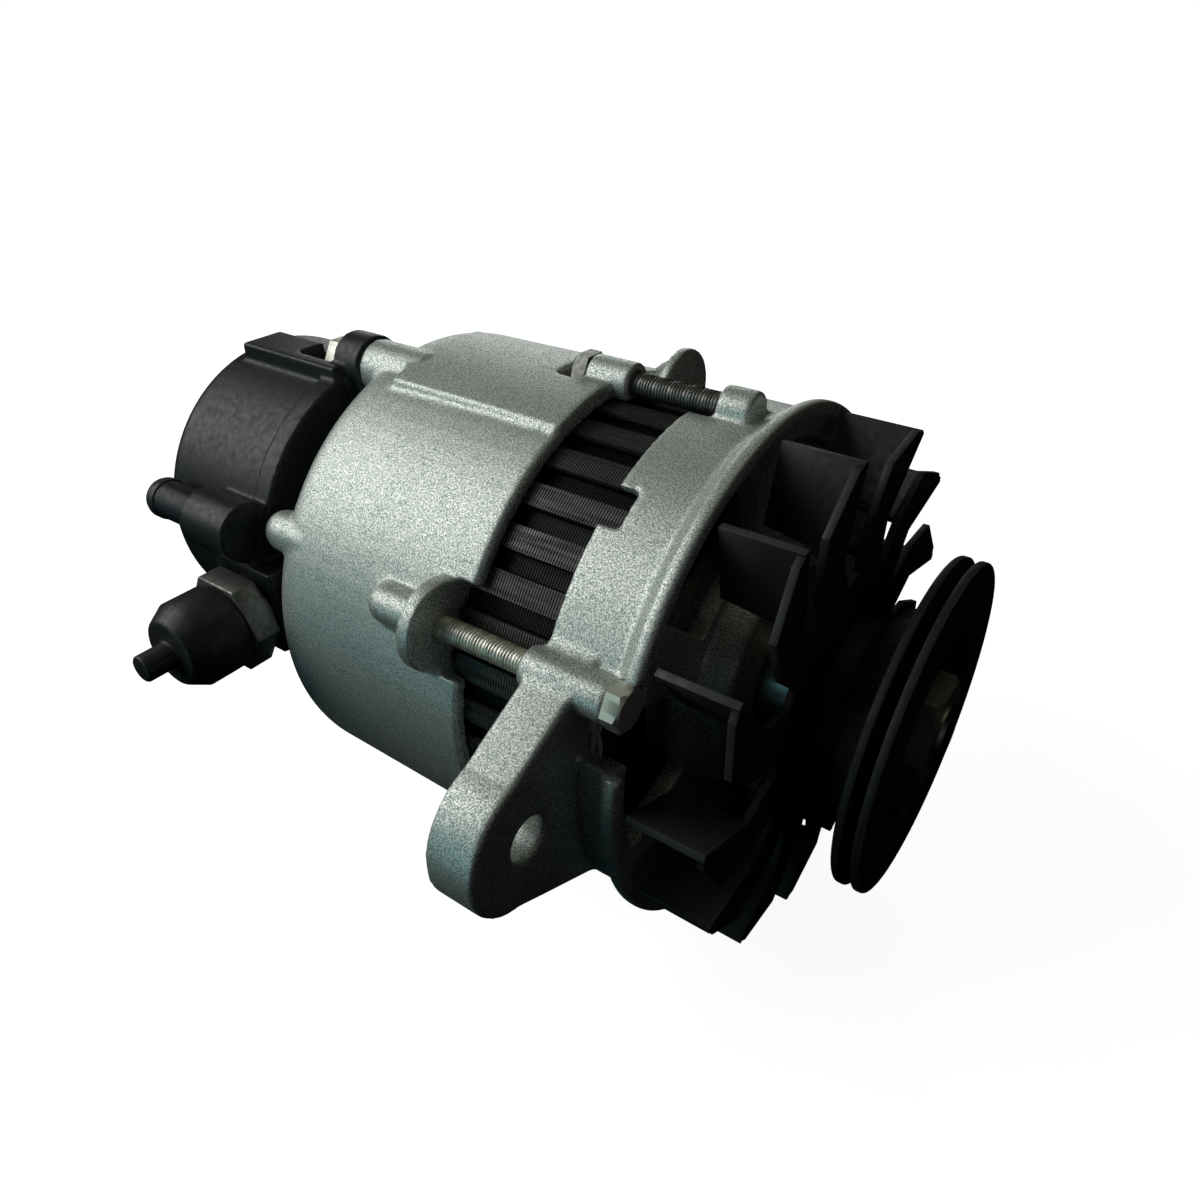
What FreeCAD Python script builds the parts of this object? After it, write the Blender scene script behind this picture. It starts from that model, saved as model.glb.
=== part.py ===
"""Belt-driven vehicle alternator with a vacuum pump on its rear end, as an assembly of separate pieces.

The shaft lies along X with the pulley at +X, Z is up, and the origin is on the shaft's axis in the middle of
the belt groove. The pivot lug points along -Y. Angles round the shaft run from +Y towards +Z.
"""
import FreeCAD, Part

import math
import os

import Sketcher
from FreeCAD import Placement, Rotation, Vector

doc = FreeCAD.newDocument("alternator")
sheet = doc.addObject("Spreadsheet::Sheet", "Sizes")

# Driving dimensions in millimetres and degrees: name, size, what it measures
DIMENSIONS = [
    ("belt_to_lip", 39.5, "belt groove's middle to the bracket's front lip"),
    ("clearance", 0.3, "gap between pieces that move past each other"),
    ("running_gap", 0.05, "radial gap of a shaft in its hole"),
    ("body_radius", 64.0, "rear housing, outside"),
    ("casting_wall", 4.0, "wall of the rear housing"),
    ("band_wall", 2.5, "bracket's band outside the core's seat"),
    ("band_length", 23.7, "front lip to the band's rear edge"),
    ("lip_rise", 3.0, "raised rim at the bracket's front, above the band"),
    ("lip_width", 5.0, "length of the raised rim"),
    ("lip_depth", 3.0, "lip plane to the bracket's front wall"),
    ("front_wall", 5.0, "thickness of the bracket's front wall"),
    ("hub_radius", 32.0, "bearing hub of the bracket, outside"),
    ("window_margin", 3.5, "core's outside to the outer edge of the bracket's windows"),
    ("window_angle", 41.0, "angle that each bracket window takes"),
    ("window_count", 6, "windows in the bracket's front wall"),
    ("wall_hole_reach", 41.0, "shaft axis to the round hole in the bracket's closed wall"),
    ("wall_hole_angle", 243.0, "place of that hole round the shaft"),
    ("wall_hole_radius", 4.0, "round hole in the bracket's closed wall"),
    ("lug_offset", 15.6, "bracket's band to the pivot bolt's axis"),
    ("lug_tip_radius", 17.2, "rounded end of the pivot lug"),
    ("lug_root_half", 32.0, "half height of the lug where it meets the band"),
    ("lug_thickness", 12.0, "thickness of the pivot lug"),
    ("pivot_hole_radius", 5.1, "hole in the lug, for the pivot bolt"),
    ("ear_angle", 15.0, "place of the adjusting ear round the shaft"),
    ("ear_offset", 14.0, "bracket's band to the adjusting ear's hole"),
    ("ear_tip_radius", 9.0, "rounded end of the adjusting ear"),
    ("ear_thickness", 12.0, "thickness of the adjusting ear"),
    ("tab_angle", 68.8, "place of the housing's thin tab"),
    ("tab_inset", 4.5, "housing's outside to the middle of the tab's round end"),
    ("tab_radius", 11.2, "round end of the tab"),
    ("tab_thickness", 2.6, "thickness of the tab"),
    ("tab_front", 6.0, "housing's front edge to the tab's front face"),
    ("flange_radius", 11.0, "housing's flanges round the through bolts"),
    ("flange_thickness", 4.0, "thickness of those flanges"),
    ("flange_setback", 5.5, "housing's front edge to those flanges"),
    ("ear_hole_radius", 4.25, "bolt hole of the adjusting ear"),
    ("bolt_offset", 3.5, "core's outside to the through bolts' axes"),
    ("bolt_angle", 157.0, "place of the first through bolt"),
    ("bolt_step", 68.0, "angle between the first two through bolts"),
    ("bolt_radius", 2.9, "through bolt's shank"),
    ("bolt_head_radius", 4.7, "through bolt's head, across flats, halved"),
    ("bolt_head_height", 4.0, "height of the through bolt's head"),
    ("boss_radius", 4.9, "castings' bosses round the through bolts"),
    ("boss_length", 21.0, "through bolt's boss on the rear housing"),
    ("seat_wall", 3.5, "rear housing's wall outside the core's seat"),
    ("core_gap", 20.8, "length of core that shows between the castings"),
    ("core_seat", 3.5, "length of core held in each casting"),
    ("core_height", 15.5, "stator core's ring, from its bore to its outside"),
    ("slot_depth", 8.5, "depth of the winding slots"),
    ("slot_width", 4.0, "width of the winding slots"),
    ("slot_count", 36, "winding slots, and grooves round the core"),
    ("rib_depth", 2.0, "depth of the grooves round the core"),
    ("rib_gap", 4.6, "width of the grooves round the core"),
    ("air_gap", 0.4, "gap between rotor and stator"),
    ("winding_height", 9.0, "end turns beyond the core's face"),
    ("housing_length", 63.5, "length of the rear housing"),
    ("housing_taper", 0.8, "loss of radius to the rear housing's back"),
    ("land_rise", 1.1, "raised land on the rear housing's top"),
    ("land_length", 51.5, "length of the raised land from the housing's front edge"),
    ("land_start", 82.0, "place where the raised land starts round the shaft"),
    ("land_sweep", 29.5, "angle that the raised land takes"),
    ("rear_wall", 5.0, "thickness of the rear housing's back wall"),
    ("corner_radius", 7.0, "rounded edge of the rear housing"),
    ("shaft_radius", 8.5, "rotor shaft under the front bearing and pulley"),
    ("core_shaft_radius", 11.0, "rotor shaft under the poles"),
    ("rear_shaft_radius", 7.5, "rotor shaft under the rear bearing"),
    ("front_bearing_radius", 23.5, "front bearing, outside"),
    ("front_bearing_width", 14.0, "front bearing, width"),
    ("front_ball_radius", 4.3, "balls of the front bearing"),
    ("front_ball_count", 7, "balls of the front bearing"),
    ("rear_bearing_radius", 17.5, "rear bearing, outside"),
    ("rear_bearing_width", 11.0, "rear bearing, width"),
    ("rear_ball_radius", 2.9, "balls of the rear bearing"),
    ("rear_ball_count", 8, "balls of the rear bearing"),
    ("pole_count", 6, "claws on each pole piece"),
    ("pole_disc", 9.0, "thickness of a pole piece's disc"),
    ("rotor_length", 35.0, "length over both pole pieces"),
    ("coil_width", 14.0, "field coil, between its cheeks"),
    ("slip_ring_radius", 13.5, "slip rings, outside"),
    ("slip_ring_width", 6.0, "width of each slip ring"),
    ("brush_width", 5.0, "brush along the shaft"),
    ("brush_depth", 6.0, "brush across the shaft"),
    ("brush_length", 13.0, "length of a new brush"),
    ("brush_travel", 6.0, "travel of a brush against its spring"),
    ("fan_radius", 63.8, "tips of the fan's blades"),
    ("fan_disc_radius", 34.0, "fan's disc, without its arms"),
    ("fan_depth", 18.4, "length of the fan's blades along the shaft"),
    ("fan_front", 20.0, "lip plane to the fan's front face"),
    ("sheet_thickness", 1.8, "sheet that the fan is stamped from"),
    ("pulley_radius", 40.0, "pulley's flanges"),
    ("pulley_half_width", 3.2, "half of the pulley's width at its rim"),
    ("groove_half_width", 1.3, "half of the belt groove's mouth"),
    ("groove_root_radius", 30.0, "bottom of the belt groove"),
    ("groove_root_half", 0.7, "half of the belt groove's bottom"),
    ("nut_flats", 24.0, "pulley nut across flats"),
    ("nut_height", 9.4, "height of the pulley nut"),
    ("nut_recess", 9.7, "pulley's front rim to the seat of the nut's washer"),
    ("washer_thickness", 2.6, "washer under the pulley nut"),
    ("pump_plate_radius", 43.0, "pump's mounting flange"),
    ("pump_plate_thickness", 8.0, "thickness of the pump's mounting flange"),
    ("pump_gap", 1.5, "joint between rear housing and pump"),
    ("pump_offset", 18.0, "pump drum's axis from the shaft's axis"),
    ("pump_angle", 130.0, "direction of the pump drum from the shaft"),
    ("pump_radius", 42.0, "pump drum, outside"),
    ("pump_length", 50.5, "pump, from its flange's face to its end"),
    ("pump_bore_radius", 30.0, "bore that the vanes run in"),
    ("pump_rotor_radius", 21.3, "pump rotor, outside"),
    ("pump_eccentricity", 8.4, "pump bore's axis from the shaft's axis"),
    ("pump_rotor_length", 24.0, "length of the pump rotor"),
    ("pump_ear_setback", 3.0, "pump's front face back to the front of its ears"),
    ("pump_ear_reach", 58.5, "pump's bolts from the shaft's axis"),
    ("terminal_inset", 14.5, "rear housing's outside to the output terminal's axis"),
    ("terminal_angle", 0.0, "place of the output terminal"),
    ("stud_radius", 2.9, "output stud's thread"),
    ("stud_length", 10.5, "output stud beyond its nut"),
    ("vane_count", 4, "vanes of the pump"),
    ("vane_thickness", 4.0, "thickness of each vane"),
    ("vane_height", 13.0, "radial height of each vane"),
    ("union_flats", 24.0, "vacuum union's hexagon across flats"),
    ("cap_radius", 11.8, "closing cap of the vacuum union"),
    ("union_reach", 60.0, "shaft axis to the face that the vacuum union seals on"),
    ("union_height", 3.0, "vacuum union's axis above the shaft's axis"),
    ("pipe_reach", 57.9, "oil pipe beside the shaft's axis"),
    ("pipe_height", 26.0, "oil pipe above the shaft's axis"),
]


class Size:
    """A length or an angle that keeps its formula beside its number, so that features can be bound to it."""

    def __init__(self, formula, number):
        self.formula = formula
        self.number = number

    def __float__(self):
        return float(self.number)

    def __int__(self):
        return int(round(self.number))

    def __neg__(self):
        return Size(f"(-{self.formula})", -self.number)

    def __add__(self, other):
        other = as_size(other)
        return Size(f"({self.formula} + {other.formula})", self.number + other.number)

    def __sub__(self, other):
        other = as_size(other)
        return Size(f"({self.formula} - {other.formula})", self.number - other.number)

    def __mul__(self, other):
        other = as_size(other)
        return Size(f"({self.formula} * {other.formula})", self.number * other.number)

    def __truediv__(self, other):
        other = as_size(other)
        return Size(f"({self.formula} / {other.formula})", self.number / other.number)

    def __radd__(self, other):
        return as_size(other) + self

    def __rsub__(self, other):
        return as_size(other) - self

    def __rmul__(self, other):
        return as_size(other) * self


def as_size(amount):
    """A plain number as a Size."""
    return amount if isinstance(amount, Size) else Size(f"{amount:g}", float(amount))


def cosine(angle):
    angle = as_size(angle)
    return Size(f"cos({angle.formula} * 1deg)", math.cos(math.radians(angle.number)))


def sine(angle):
    angle = as_size(angle)
    return Size(f"sin({angle.formula} * 1deg)", math.sin(math.radians(angle.number)))


def polar(radius, angle):
    """Y and Z of a point at a radius and an angle round the shaft."""
    return radius * cosine(angle), radius * sine(angle)


class Sizes:
    """The driving dimensions, by name."""


for row, (name, number, note) in enumerate(DIMENSIONS, 1):
    sheet.set(f"A{row}", name)
    sheet.set(f"B{row}", str(number))
    sheet.set(f"C{row}", note)
    sheet.setAlias(f"B{row}", name)
    setattr(Sizes, name, Size(f"Sizes.{name}", float(number)))
doc.recompute()

S = Sizes

# Radii that follow from the housing's outside, inwards to the core and outwards to what the bracket carries
S.core_radius = S.body_radius - S.seat_wall
S.core_bore = S.core_radius - S.core_height
S.band_radius = S.core_radius + S.band_wall
S.lip_radius = S.band_radius + S.lip_rise
S.window_radius = S.core_radius - S.window_margin
S.bolt_circle = S.core_radius + S.bolt_offset
S.tab_reach = S.body_radius - S.tab_inset
S.lug_reach = S.band_radius + S.lug_offset
S.ear_reach = S.band_radius + S.ear_offset
S.terminal_reach = S.body_radius - S.terminal_inset

pieces = {}


# Building blocks

def bind(feature, **properties):
    """Binds properties of a feature to sizes."""
    for name, size in properties.items():
        size = as_size(size)
        setattr(feature, name, size.number)
        feature.setExpression(name, size.formula)


TURNS = {
    "X": Rotation(Vector(1, 1, 1), 120),
    "-X": Rotation(Vector(0, 1, 0), -90),
    "Y": Rotation(Vector(1, 0, 0), -90),
    "-Y": Rotation(Vector(1, 0, 0), 90),
    "Z": Rotation(),
}


def put(feature, x, y, z, rotation):
    """Places a feature at a bound point with a fixed rotation."""
    x, y, z = as_size(x), as_size(y), as_size(z)
    feature.Placement = Placement(Vector(x.number, y.number, z.number), rotation)
    for axis, size in (("x", x), ("y", y), ("z", z)):
        feature.setExpression(f"Placement.Base.{axis}", size.formula)
    return feature


def cylinder(name, radius, length, x, y=0, z=0, along="X"):
    """A cylinder that starts at a point and runs along an axis."""
    feature = doc.addObject("Part::Cylinder", name)
    bind(feature, Radius=radius, Height=length)
    return put(feature, x, y, z, TURNS[along])


def cone(name, start_radius, end_radius, length, x, y=0, z=0, along="X"):
    feature = doc.addObject("Part::Cone", name)
    bind(feature, Radius1=start_radius, Radius2=end_radius, Height=length)
    return put(feature, x, y, z, TURNS[along])


def hexagon(name, flats, length, x, y=0, z=0, along="X"):
    """A hexagonal bar, by its size across flats."""
    feature = doc.addObject("Part::Prism", name)
    feature.Polygon = 6
    bind(feature, Circumradius=flats / math.sqrt(3), Height=length)
    return put(feature, x, y, z, TURNS[along])


def sphere(name, radius, x, y, z):
    feature = doc.addObject("Part::Sphere", name)
    bind(feature, Radius=radius)
    return put(feature, x, y, z, Rotation())


def sector(name, radius, length, x, start, sweep):
    """A pie slice round the shaft, from one angle on by a sweep."""
    feature = doc.addObject("Part::Cylinder", name)
    bind(feature, Radius=radius, Height=length, Angle=sweep)
    return put(feature, x, 0, 0, Rotation(Vector(1, 0, 0), float(as_size(start))) * TURNS["X"])


def block(name, size_x, size_y, size_z, x, y, z):
    """A box, by its lowest corner."""
    feature = doc.addObject("Part::Box", name)
    bind(feature, Length=size_x, Width=size_y, Height=size_z)
    return put(feature, x, y, z, Rotation())


def spoke(name, length, width, height, x, radius, angle):
    """A box that stands out from a radius, centred on an angle round the shaft."""
    width, angle = as_size(width), as_size(angle)
    feature = doc.addObject("Part::Box", name)
    bind(feature, Length=length, Width=width, Height=height)
    y = radius * cosine(angle) - width / 2 * sine(angle)
    z = radius * sine(angle) + width / 2 * cosine(angle)
    return put(feature, x, y, z, Rotation(Vector(1, 0, 0), angle.number - 90))


def fuse(name, *features):
    feature = doc.addObject("Part::MultiFuse", name)
    feature.Shapes = list(features)
    feature.Refine = True
    return feature


def cut(name, base, *tools):
    feature = doc.addObject("Part::Cut", name)
    feature.Base = base
    feature.Tool = tools[0] if len(tools) == 1 else fuse(f"{name}_tools", *tools)
    return feature


def common(name, first, second):
    feature = doc.addObject("Part::Common", name)
    feature.Base = first
    feature.Tool = second
    return feature


def group(name, features):
    """Separate solids held as one piece."""
    feature = doc.addObject("Part::Compound", name)
    feature.Links = list(features)
    return feature


def origin_part(body, role):
    return next(item for item in body.Origin.OriginFeatures if item.Role == role)


def sketch_on(body, name, role):
    sketch = body.newObject("Sketcher::SketchObject", name)
    sketch.AttachmentSupport = (origin_part(body, role), [""])
    sketch.MapMode = "FlatFace"
    return sketch


def outline(sketch, points):
    """Draws a closed outline through points whose places are bound to sizes."""
    points = [(as_size(across), as_size(up)) for across, up in points]
    count = len(points)
    for index, (across, up) in enumerate(points):
        end_across, end_up = points[(index + 1) % count]
        start = Vector(across.number, up.number, 0)
        end = Vector(end_across.number, end_up.number, 0)
        sketch.addGeometry(Part.LineSegment(start, end), False)
    for index in range(count):
        sketch.addConstraint(Sketcher.Constraint("Coincident", index, 2, (index + 1) % count, 1))
    for index, place in enumerate(points):
        for kind, size in zip(("DistanceX", "DistanceY"), place):
            number = sketch.addConstraint(Sketcher.Constraint(kind, -1, 1, index, 1, size.number))
            sketch.setExpression(f"Constraints[{number}]", size.formula)


def turned(name, profile):
    """A body turned about the shaft's axis from a profile of (x, radius) points."""
    body = doc.addObject("PartDesign::Body", name)
    sketch = sketch_on(body, f"{name}_profile", "XY_Plane")
    outline(sketch, profile)
    turn = body.newObject("PartDesign::Revolution", f"{name}_turn")
    turn.Profile = sketch
    turn.ReferenceAxis = (sketch, ["H_Axis"])
    turn.Angle = 360
    sketch.Visibility = False
    return body


def tube(name, inner, outer, x_start, x_end):
    return turned(name, [(x_start, inner), (x_end, inner), (x_end, outer), (x_start, outer)])


def ring_of(name, count, make):
    """Calls make(name, angle) round a circle and lists what it makes."""
    return [make(f"{name}_{index}", index * 360.0 / count) for index in range(count)]


def piece(label, feature):
    """Registers a finished sub-part under its node's name."""
    feature.Label = label
    pieces[label] = feature
    return feature


# Stations along the shaft

lip = -S.belt_to_lip
band_back = lip - S.band_length
core_front = band_back + S.core_seat
housing_front = band_back - S.core_gap
core_back = housing_front - S.core_seat
housing_back = housing_front - S.housing_length
core_middle = (core_front + core_back) / 2
front_face = lip - S.lip_depth
front_bearing_front = lip + 1.5
front_bearing_back = front_bearing_front - S.front_bearing_width
hub_front = front_bearing_front + 3
rotor_middle = core_middle - 1
rear_bearing_back = housing_back + S.rear_wall - 1
rear_bearing_front = rear_bearing_back + S.rear_bearing_width
pump_front = housing_back - S.pump_gap
pump_back = pump_front - S.pump_length
washer_seat = S.pulley_half_width - S.nut_recess
web_split = washer_seat - 3.0
bolt_seat = lip - 5.0
bolt_end = housing_front - S.boss_length + 1
rear_head_seat = housing_front - 7.5


PUMP_EAR_ANGLES = (102.0, 238.0, 330.0)


def bolt_angles():
    """Two opposite pairs of through bolts."""
    first, second = S.bolt_angle, S.bolt_angle - S.bolt_step
    return [first, second, first + 180, second + 180]


CLOSED_WINDOW = 4


# Drive end bracket: hub, windowed wall, band, raised lip, pivot lug, adjusting ear and bolt bosses

def drive_end_bracket():
    wall_back = front_face - S.front_wall
    band_inside = S.core_radius - 2
    spacer_hole = as_size(13.0)
    shell = turned("bracket_shell", [
        (hub_front, spacer_hole),
        (hub_front, S.hub_radius - 4),
        (hub_front - 1.5, S.hub_radius - 2.5),
        (front_face, S.hub_radius),
        (front_face, S.lip_radius - 4.5),
        (lip, S.lip_radius - 3.5),
        (lip, S.lip_radius - 0.6),
        (lip - 0.6, S.lip_radius),
        (lip - S.lip_width + 2, S.lip_radius),
        (lip - S.lip_width - 1, S.band_radius),
        (band_back, S.band_radius),
        (band_back, S.core_radius),
        (core_front, S.core_radius),
        (core_front, band_inside),
        (wall_back, band_inside),
        (wall_back, S.hub_radius),
        (front_bearing_back, S.hub_radius - 1),
        (front_bearing_back, S.front_bearing_radius),
        (front_bearing_front, S.front_bearing_radius),
        (front_bearing_front, spacer_hole),
    ])
    lug_back = band_back
    half_width = S.lug_tip_radius * 0.97
    lug = doc.addObject("PartDesign::Body", "lug_plate")
    sketch = sketch_on(lug, "lug_outline", "YZ_Plane")
    lug_shift = S.lug_tip_radius * 0.24
    outline(sketch, [
        (-S.lug_reach - lug_shift, half_width), (-S.lug_reach - lug_shift, -half_width),
        (-S.band_radius * 0.84, -S.lug_root_half), (-S.band_radius * 0.84, S.lug_root_half),
    ])
    sketch.setExpression("AttachmentOffset.Base.z", lug_back.formula)
    pad = lug.newObject("PartDesign::Pad", "lug_pad")
    pad.Profile = sketch
    bind(pad, Length=S.lug_thickness)
    lug_tip = cylinder("lug_tip", S.lug_tip_radius, S.lug_thickness, lug_back, -S.lug_reach, 0)
    ear_y, ear_z = polar(S.ear_reach, S.ear_angle)
    ear_back = band_back
    ear = cylinder("ear_tip", S.ear_tip_radius, S.ear_thickness, ear_back, ear_y, ear_z)
    ear_root = spoke("ear_root", S.ear_thickness, S.ear_tip_radius * 2, S.ear_reach - S.band_radius + 2,
                     ear_back, S.band_radius - 2, S.ear_angle)
    bosses = []
    holes = []
    pockets = []
    for index, angle in enumerate(bolt_angles()):
        y, z = polar(S.bolt_circle, angle)
        blind = index % 2 == 1
        back, front = (band_back + 6.7, band_back + 15) if blind else (band_back - 2.5, bolt_seat)
        bosses.append(cylinder(f"bracket_boss_{index}", S.boss_radius, front - back, back, y, z))
        holes.append(cylinder(f"bracket_bolt_hole_{index}", S.bolt_radius,
                              15.5 if blind else S.band_length + 3, band_back - 3, y, z))
        if blind:
            pockets.append(spoke(f"bracket_slot_{index}", 9.2, 8.4, 14, band_back - 2.5,
                                 S.core_radius - 4, angle))
        else:
            pockets.append(spoke(f"bracket_pocket_{index}", 14, 21, 16, lip - 11.8, S.band_radius - 7.5,
                                 angle + 4.5))
    plain = cut("bracket_pocketed", fuse("bracket_plain", shell, lug, lug_tip, ear, ear_root), *pockets)
    solid = fuse("bracket_solid", plain, *bosses)
    inner_room = cylinder("bracket_room", band_inside, S.band_length - S.lip_depth - S.front_wall,
                          band_back, 0, 0)
    hub_keep = cylinder("bracket_hub_keep", S.hub_radius, S.band_length, band_back, 0, 0)
    room = cut("bracket_room_ring", inner_room, hub_keep)
    seat = cylinder("bracket_core_seat", S.core_radius, 16, core_front - 16, 0, 0)
    windows = []
    for index in range(int(S.window_count)):
        if index == CLOSED_WINDOW:
            continue
        start = 360.0 / int(S.window_count) * index - float(S.window_angle) / 2
        windows.append(sector(f"bracket_window_{index}", S.window_radius, S.front_wall + 4,
                              wall_back - 2, start, S.window_angle))
    window_core = cylinder("window_core", S.hub_radius + 2.5, S.front_wall + 8, wall_back - 4)
    openings = cut("bracket_windows", fuse("bracket_window_slices", *windows), window_core)
    notches = []
    for index, angle in enumerate((123.0, 86.0, 40.0, 0.0, -40.0, -110.0)):
        notches.append(spoke(f"band_notch_{index}", 5.6, 9.5, 8, band_back - 0.5, S.core_radius - 4, angle))
    lug_hole = cylinder("lug_hole", S.pivot_hole_radius, S.lug_thickness + 2, lug_back - 1, -S.lug_reach, 0)
    ear_hole = cylinder("ear_hole", S.ear_hole_radius, S.ear_thickness + S.band_length, ear_back - 1,
                        ear_y, ear_z)
    screw_holes = []
    for index in range(4):
        y, z = polar(S.front_bearing_radius + 3.6, 45 + 90 * index)
        screw_holes.append(cylinder(f"retainer_hole_{index}", 2.05, 9, front_bearing_back - 0.5, y, z))
    wall_y, wall_z = polar(S.wall_hole_reach, S.wall_hole_angle)
    wall_hole = cylinder("wall_hole", S.wall_hole_radius, S.front_wall + 2, wall_back - 1, wall_y, wall_z)
    return cut("bracket", solid, room, seat, openings, lug_hole, ear_hole, wall_hole, *notches, *holes,
               *screw_holes)


# Rear housing: tapered shell with rounded corner, raised land, bolt bosses, bearing seat and rear bosses

def rear_housing():
    back_radius = S.body_radius - S.housing_taper
    inside = S.body_radius - S.casting_wall
    bearing_boss = S.rear_bearing_radius + 4
    edge = S.corner_radius
    shell = turned("housing_shell", [
        (housing_front, S.core_radius),
        (housing_front, S.body_radius - 0.5),
        (housing_front - 0.5, S.body_radius),
        (housing_back + edge, back_radius),
        (housing_back + edge * 0.62, back_radius - edge * 0.08),
        (housing_back + edge * 0.29, back_radius - edge * 0.29),
        (housing_back + edge * 0.08, back_radius - edge * 0.62),
        (housing_back, back_radius - edge),
        (housing_back, S.rear_shaft_radius + 4),
        (rear_bearing_back, S.rear_shaft_radius + 4),
        (rear_bearing_back, S.rear_bearing_radius),
        (rear_bearing_front, S.rear_bearing_radius),
        (rear_bearing_front, bearing_boss),
        (housing_back + S.rear_wall, bearing_boss + 1.5),
        (housing_back + S.rear_wall, back_radius - S.casting_wall - 3),
        (housing_back + S.rear_wall + 3, back_radius - S.casting_wall),
        (core_back - 1, inside - 2.5),
        (core_back, S.core_radius - 2),
        (core_back, S.core_radius),
    ])
    land = sector("housing_land", S.body_radius + S.land_rise, S.land_length, housing_front - S.land_length,
                  S.land_start, S.land_sweep)
    land_core = cylinder("housing_land_core", S.core_radius + 0.8, S.housing_length, housing_back + 10)
    raised = cut("housing_raised_land", land, land_core)
    tab_y, tab_z = polar(S.tab_reach, S.tab_angle)
    tab = cylinder("housing_tab", S.tab_radius, S.tab_thickness, housing_front + S.tab_front - S.tab_thickness,
                   tab_y, tab_z)
    tab_root = cylinder("housing_tab_root", S.tab_radius - 4, S.tab_front, housing_front - 1, tab_y, tab_z)
    flange_front = housing_front - S.flange_setback
    pockets = []
    flanges = []
    for index, angle in list(enumerate(bolt_angles()))[::2]:
        y, z = polar(S.bolt_circle, angle)
        pockets.append(cylinder(f"housing_pocket_{index}", S.flange_radius + 0.2, S.flange_setback + 8,
                                flange_front, y, z))
        flanges.append(cylinder(f"housing_flange_{index}", S.flange_radius, S.flange_thickness,
                                flange_front - S.flange_thickness, y, z))
    pocketed = cut("housing_pocketed", shell, *pockets)
    bosses = []
    holes = []
    for index, angle in enumerate(bolt_angles()):
        y, z = polar(S.bolt_circle, angle)
        blind = index % 2 == 1
        back, front = (rear_head_seat, housing_front + 4.5) if blind else (bolt_end - 2, flange_front)
        bosses.append(cylinder(f"housing_boss_{index}", S.boss_radius, front - back, back, y, z))
        if blind:
            holes.append(cylinder(f"housing_spotface_{index}", S.boss_radius + 1.2, 7, back - 7, y, z))
        else:
            bosses.append(sphere(f"housing_boss_end_{index}", S.boss_radius, back, y, z))
        holes.append(cylinder(f"housing_bolt_hole_{index}", S.bolt_radius, S.boss_length + 8,
                              rear_head_seat - 1 if blind else bolt_end, y, z))
    for index, (inset, angle, rise) in enumerate(((6, 153, 1.5), (11, 108, -4.2), (7, 25, 0), (7, 290, 0))):
        y, z = polar(S.body_radius - inset, angle)
        bosses.append(cylinder(f"rear_boss_{index}", 5.5, 9 + rise, housing_back - rise, y, z))
        bosses.append(sphere(f"rear_boss_end_{index}", 5.5, housing_back - rise, y, z))
    for index, angle in enumerate(PUMP_EAR_ANGLES):
        y, z = polar(S.pump_ear_reach, angle)
        bosses.append(cylinder(f"pump_boss_{index}", 7.2, 19, pump_front - S.pump_ear_setback, y, z))
        holes.append(cylinder(f"pump_boss_hole_{index}", 3.0, 12, pump_front - S.pump_ear_setback - 1, y, z))
    solid = fuse("housing_solid", pocketed, raised, tab, tab_root, *flanges, *bosses)
    room = cylinder("housing_room", S.core_radius, S.core_seat + 12, core_back)
    cavity = turned("housing_cavity", [
        (core_back + 1, bearing_boss + 2), (core_back + 1, S.core_radius - 2),
        (core_back - 1, inside - 2.5), (housing_back + S.rear_wall + 3, back_radius - S.casting_wall),
        (housing_back + S.rear_wall, back_radius - S.casting_wall - 3),
        (housing_back + S.rear_wall, bearing_boss + 2),
    ])
    vents = []
    for index in range(5):
        vents.append(sector(f"rear_vent_{index}", back_radius - 8, S.rear_wall + 4, housing_back - 2,
                            170 + 52 * index, 22))
    vent_core = cylinder("vent_core", S.pump_plate_radius + 0.5, S.rear_wall + 6, housing_back - 3)
    air = cut("rear_vents", fuse("rear_vent_slices", *vents), vent_core)
    terminal_y, terminal_z = polar(S.terminal_reach, S.terminal_angle)
    terminal_hole = cylinder("terminal_hole", 4.2, 10, housing_back - 2, terminal_y, terminal_z)
    return cut("rear_housing_casting", solid, room, cavity, air, terminal_hole, *holes)


# Stator: laminated core with grooves outside and slots inside, and its winding

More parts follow.
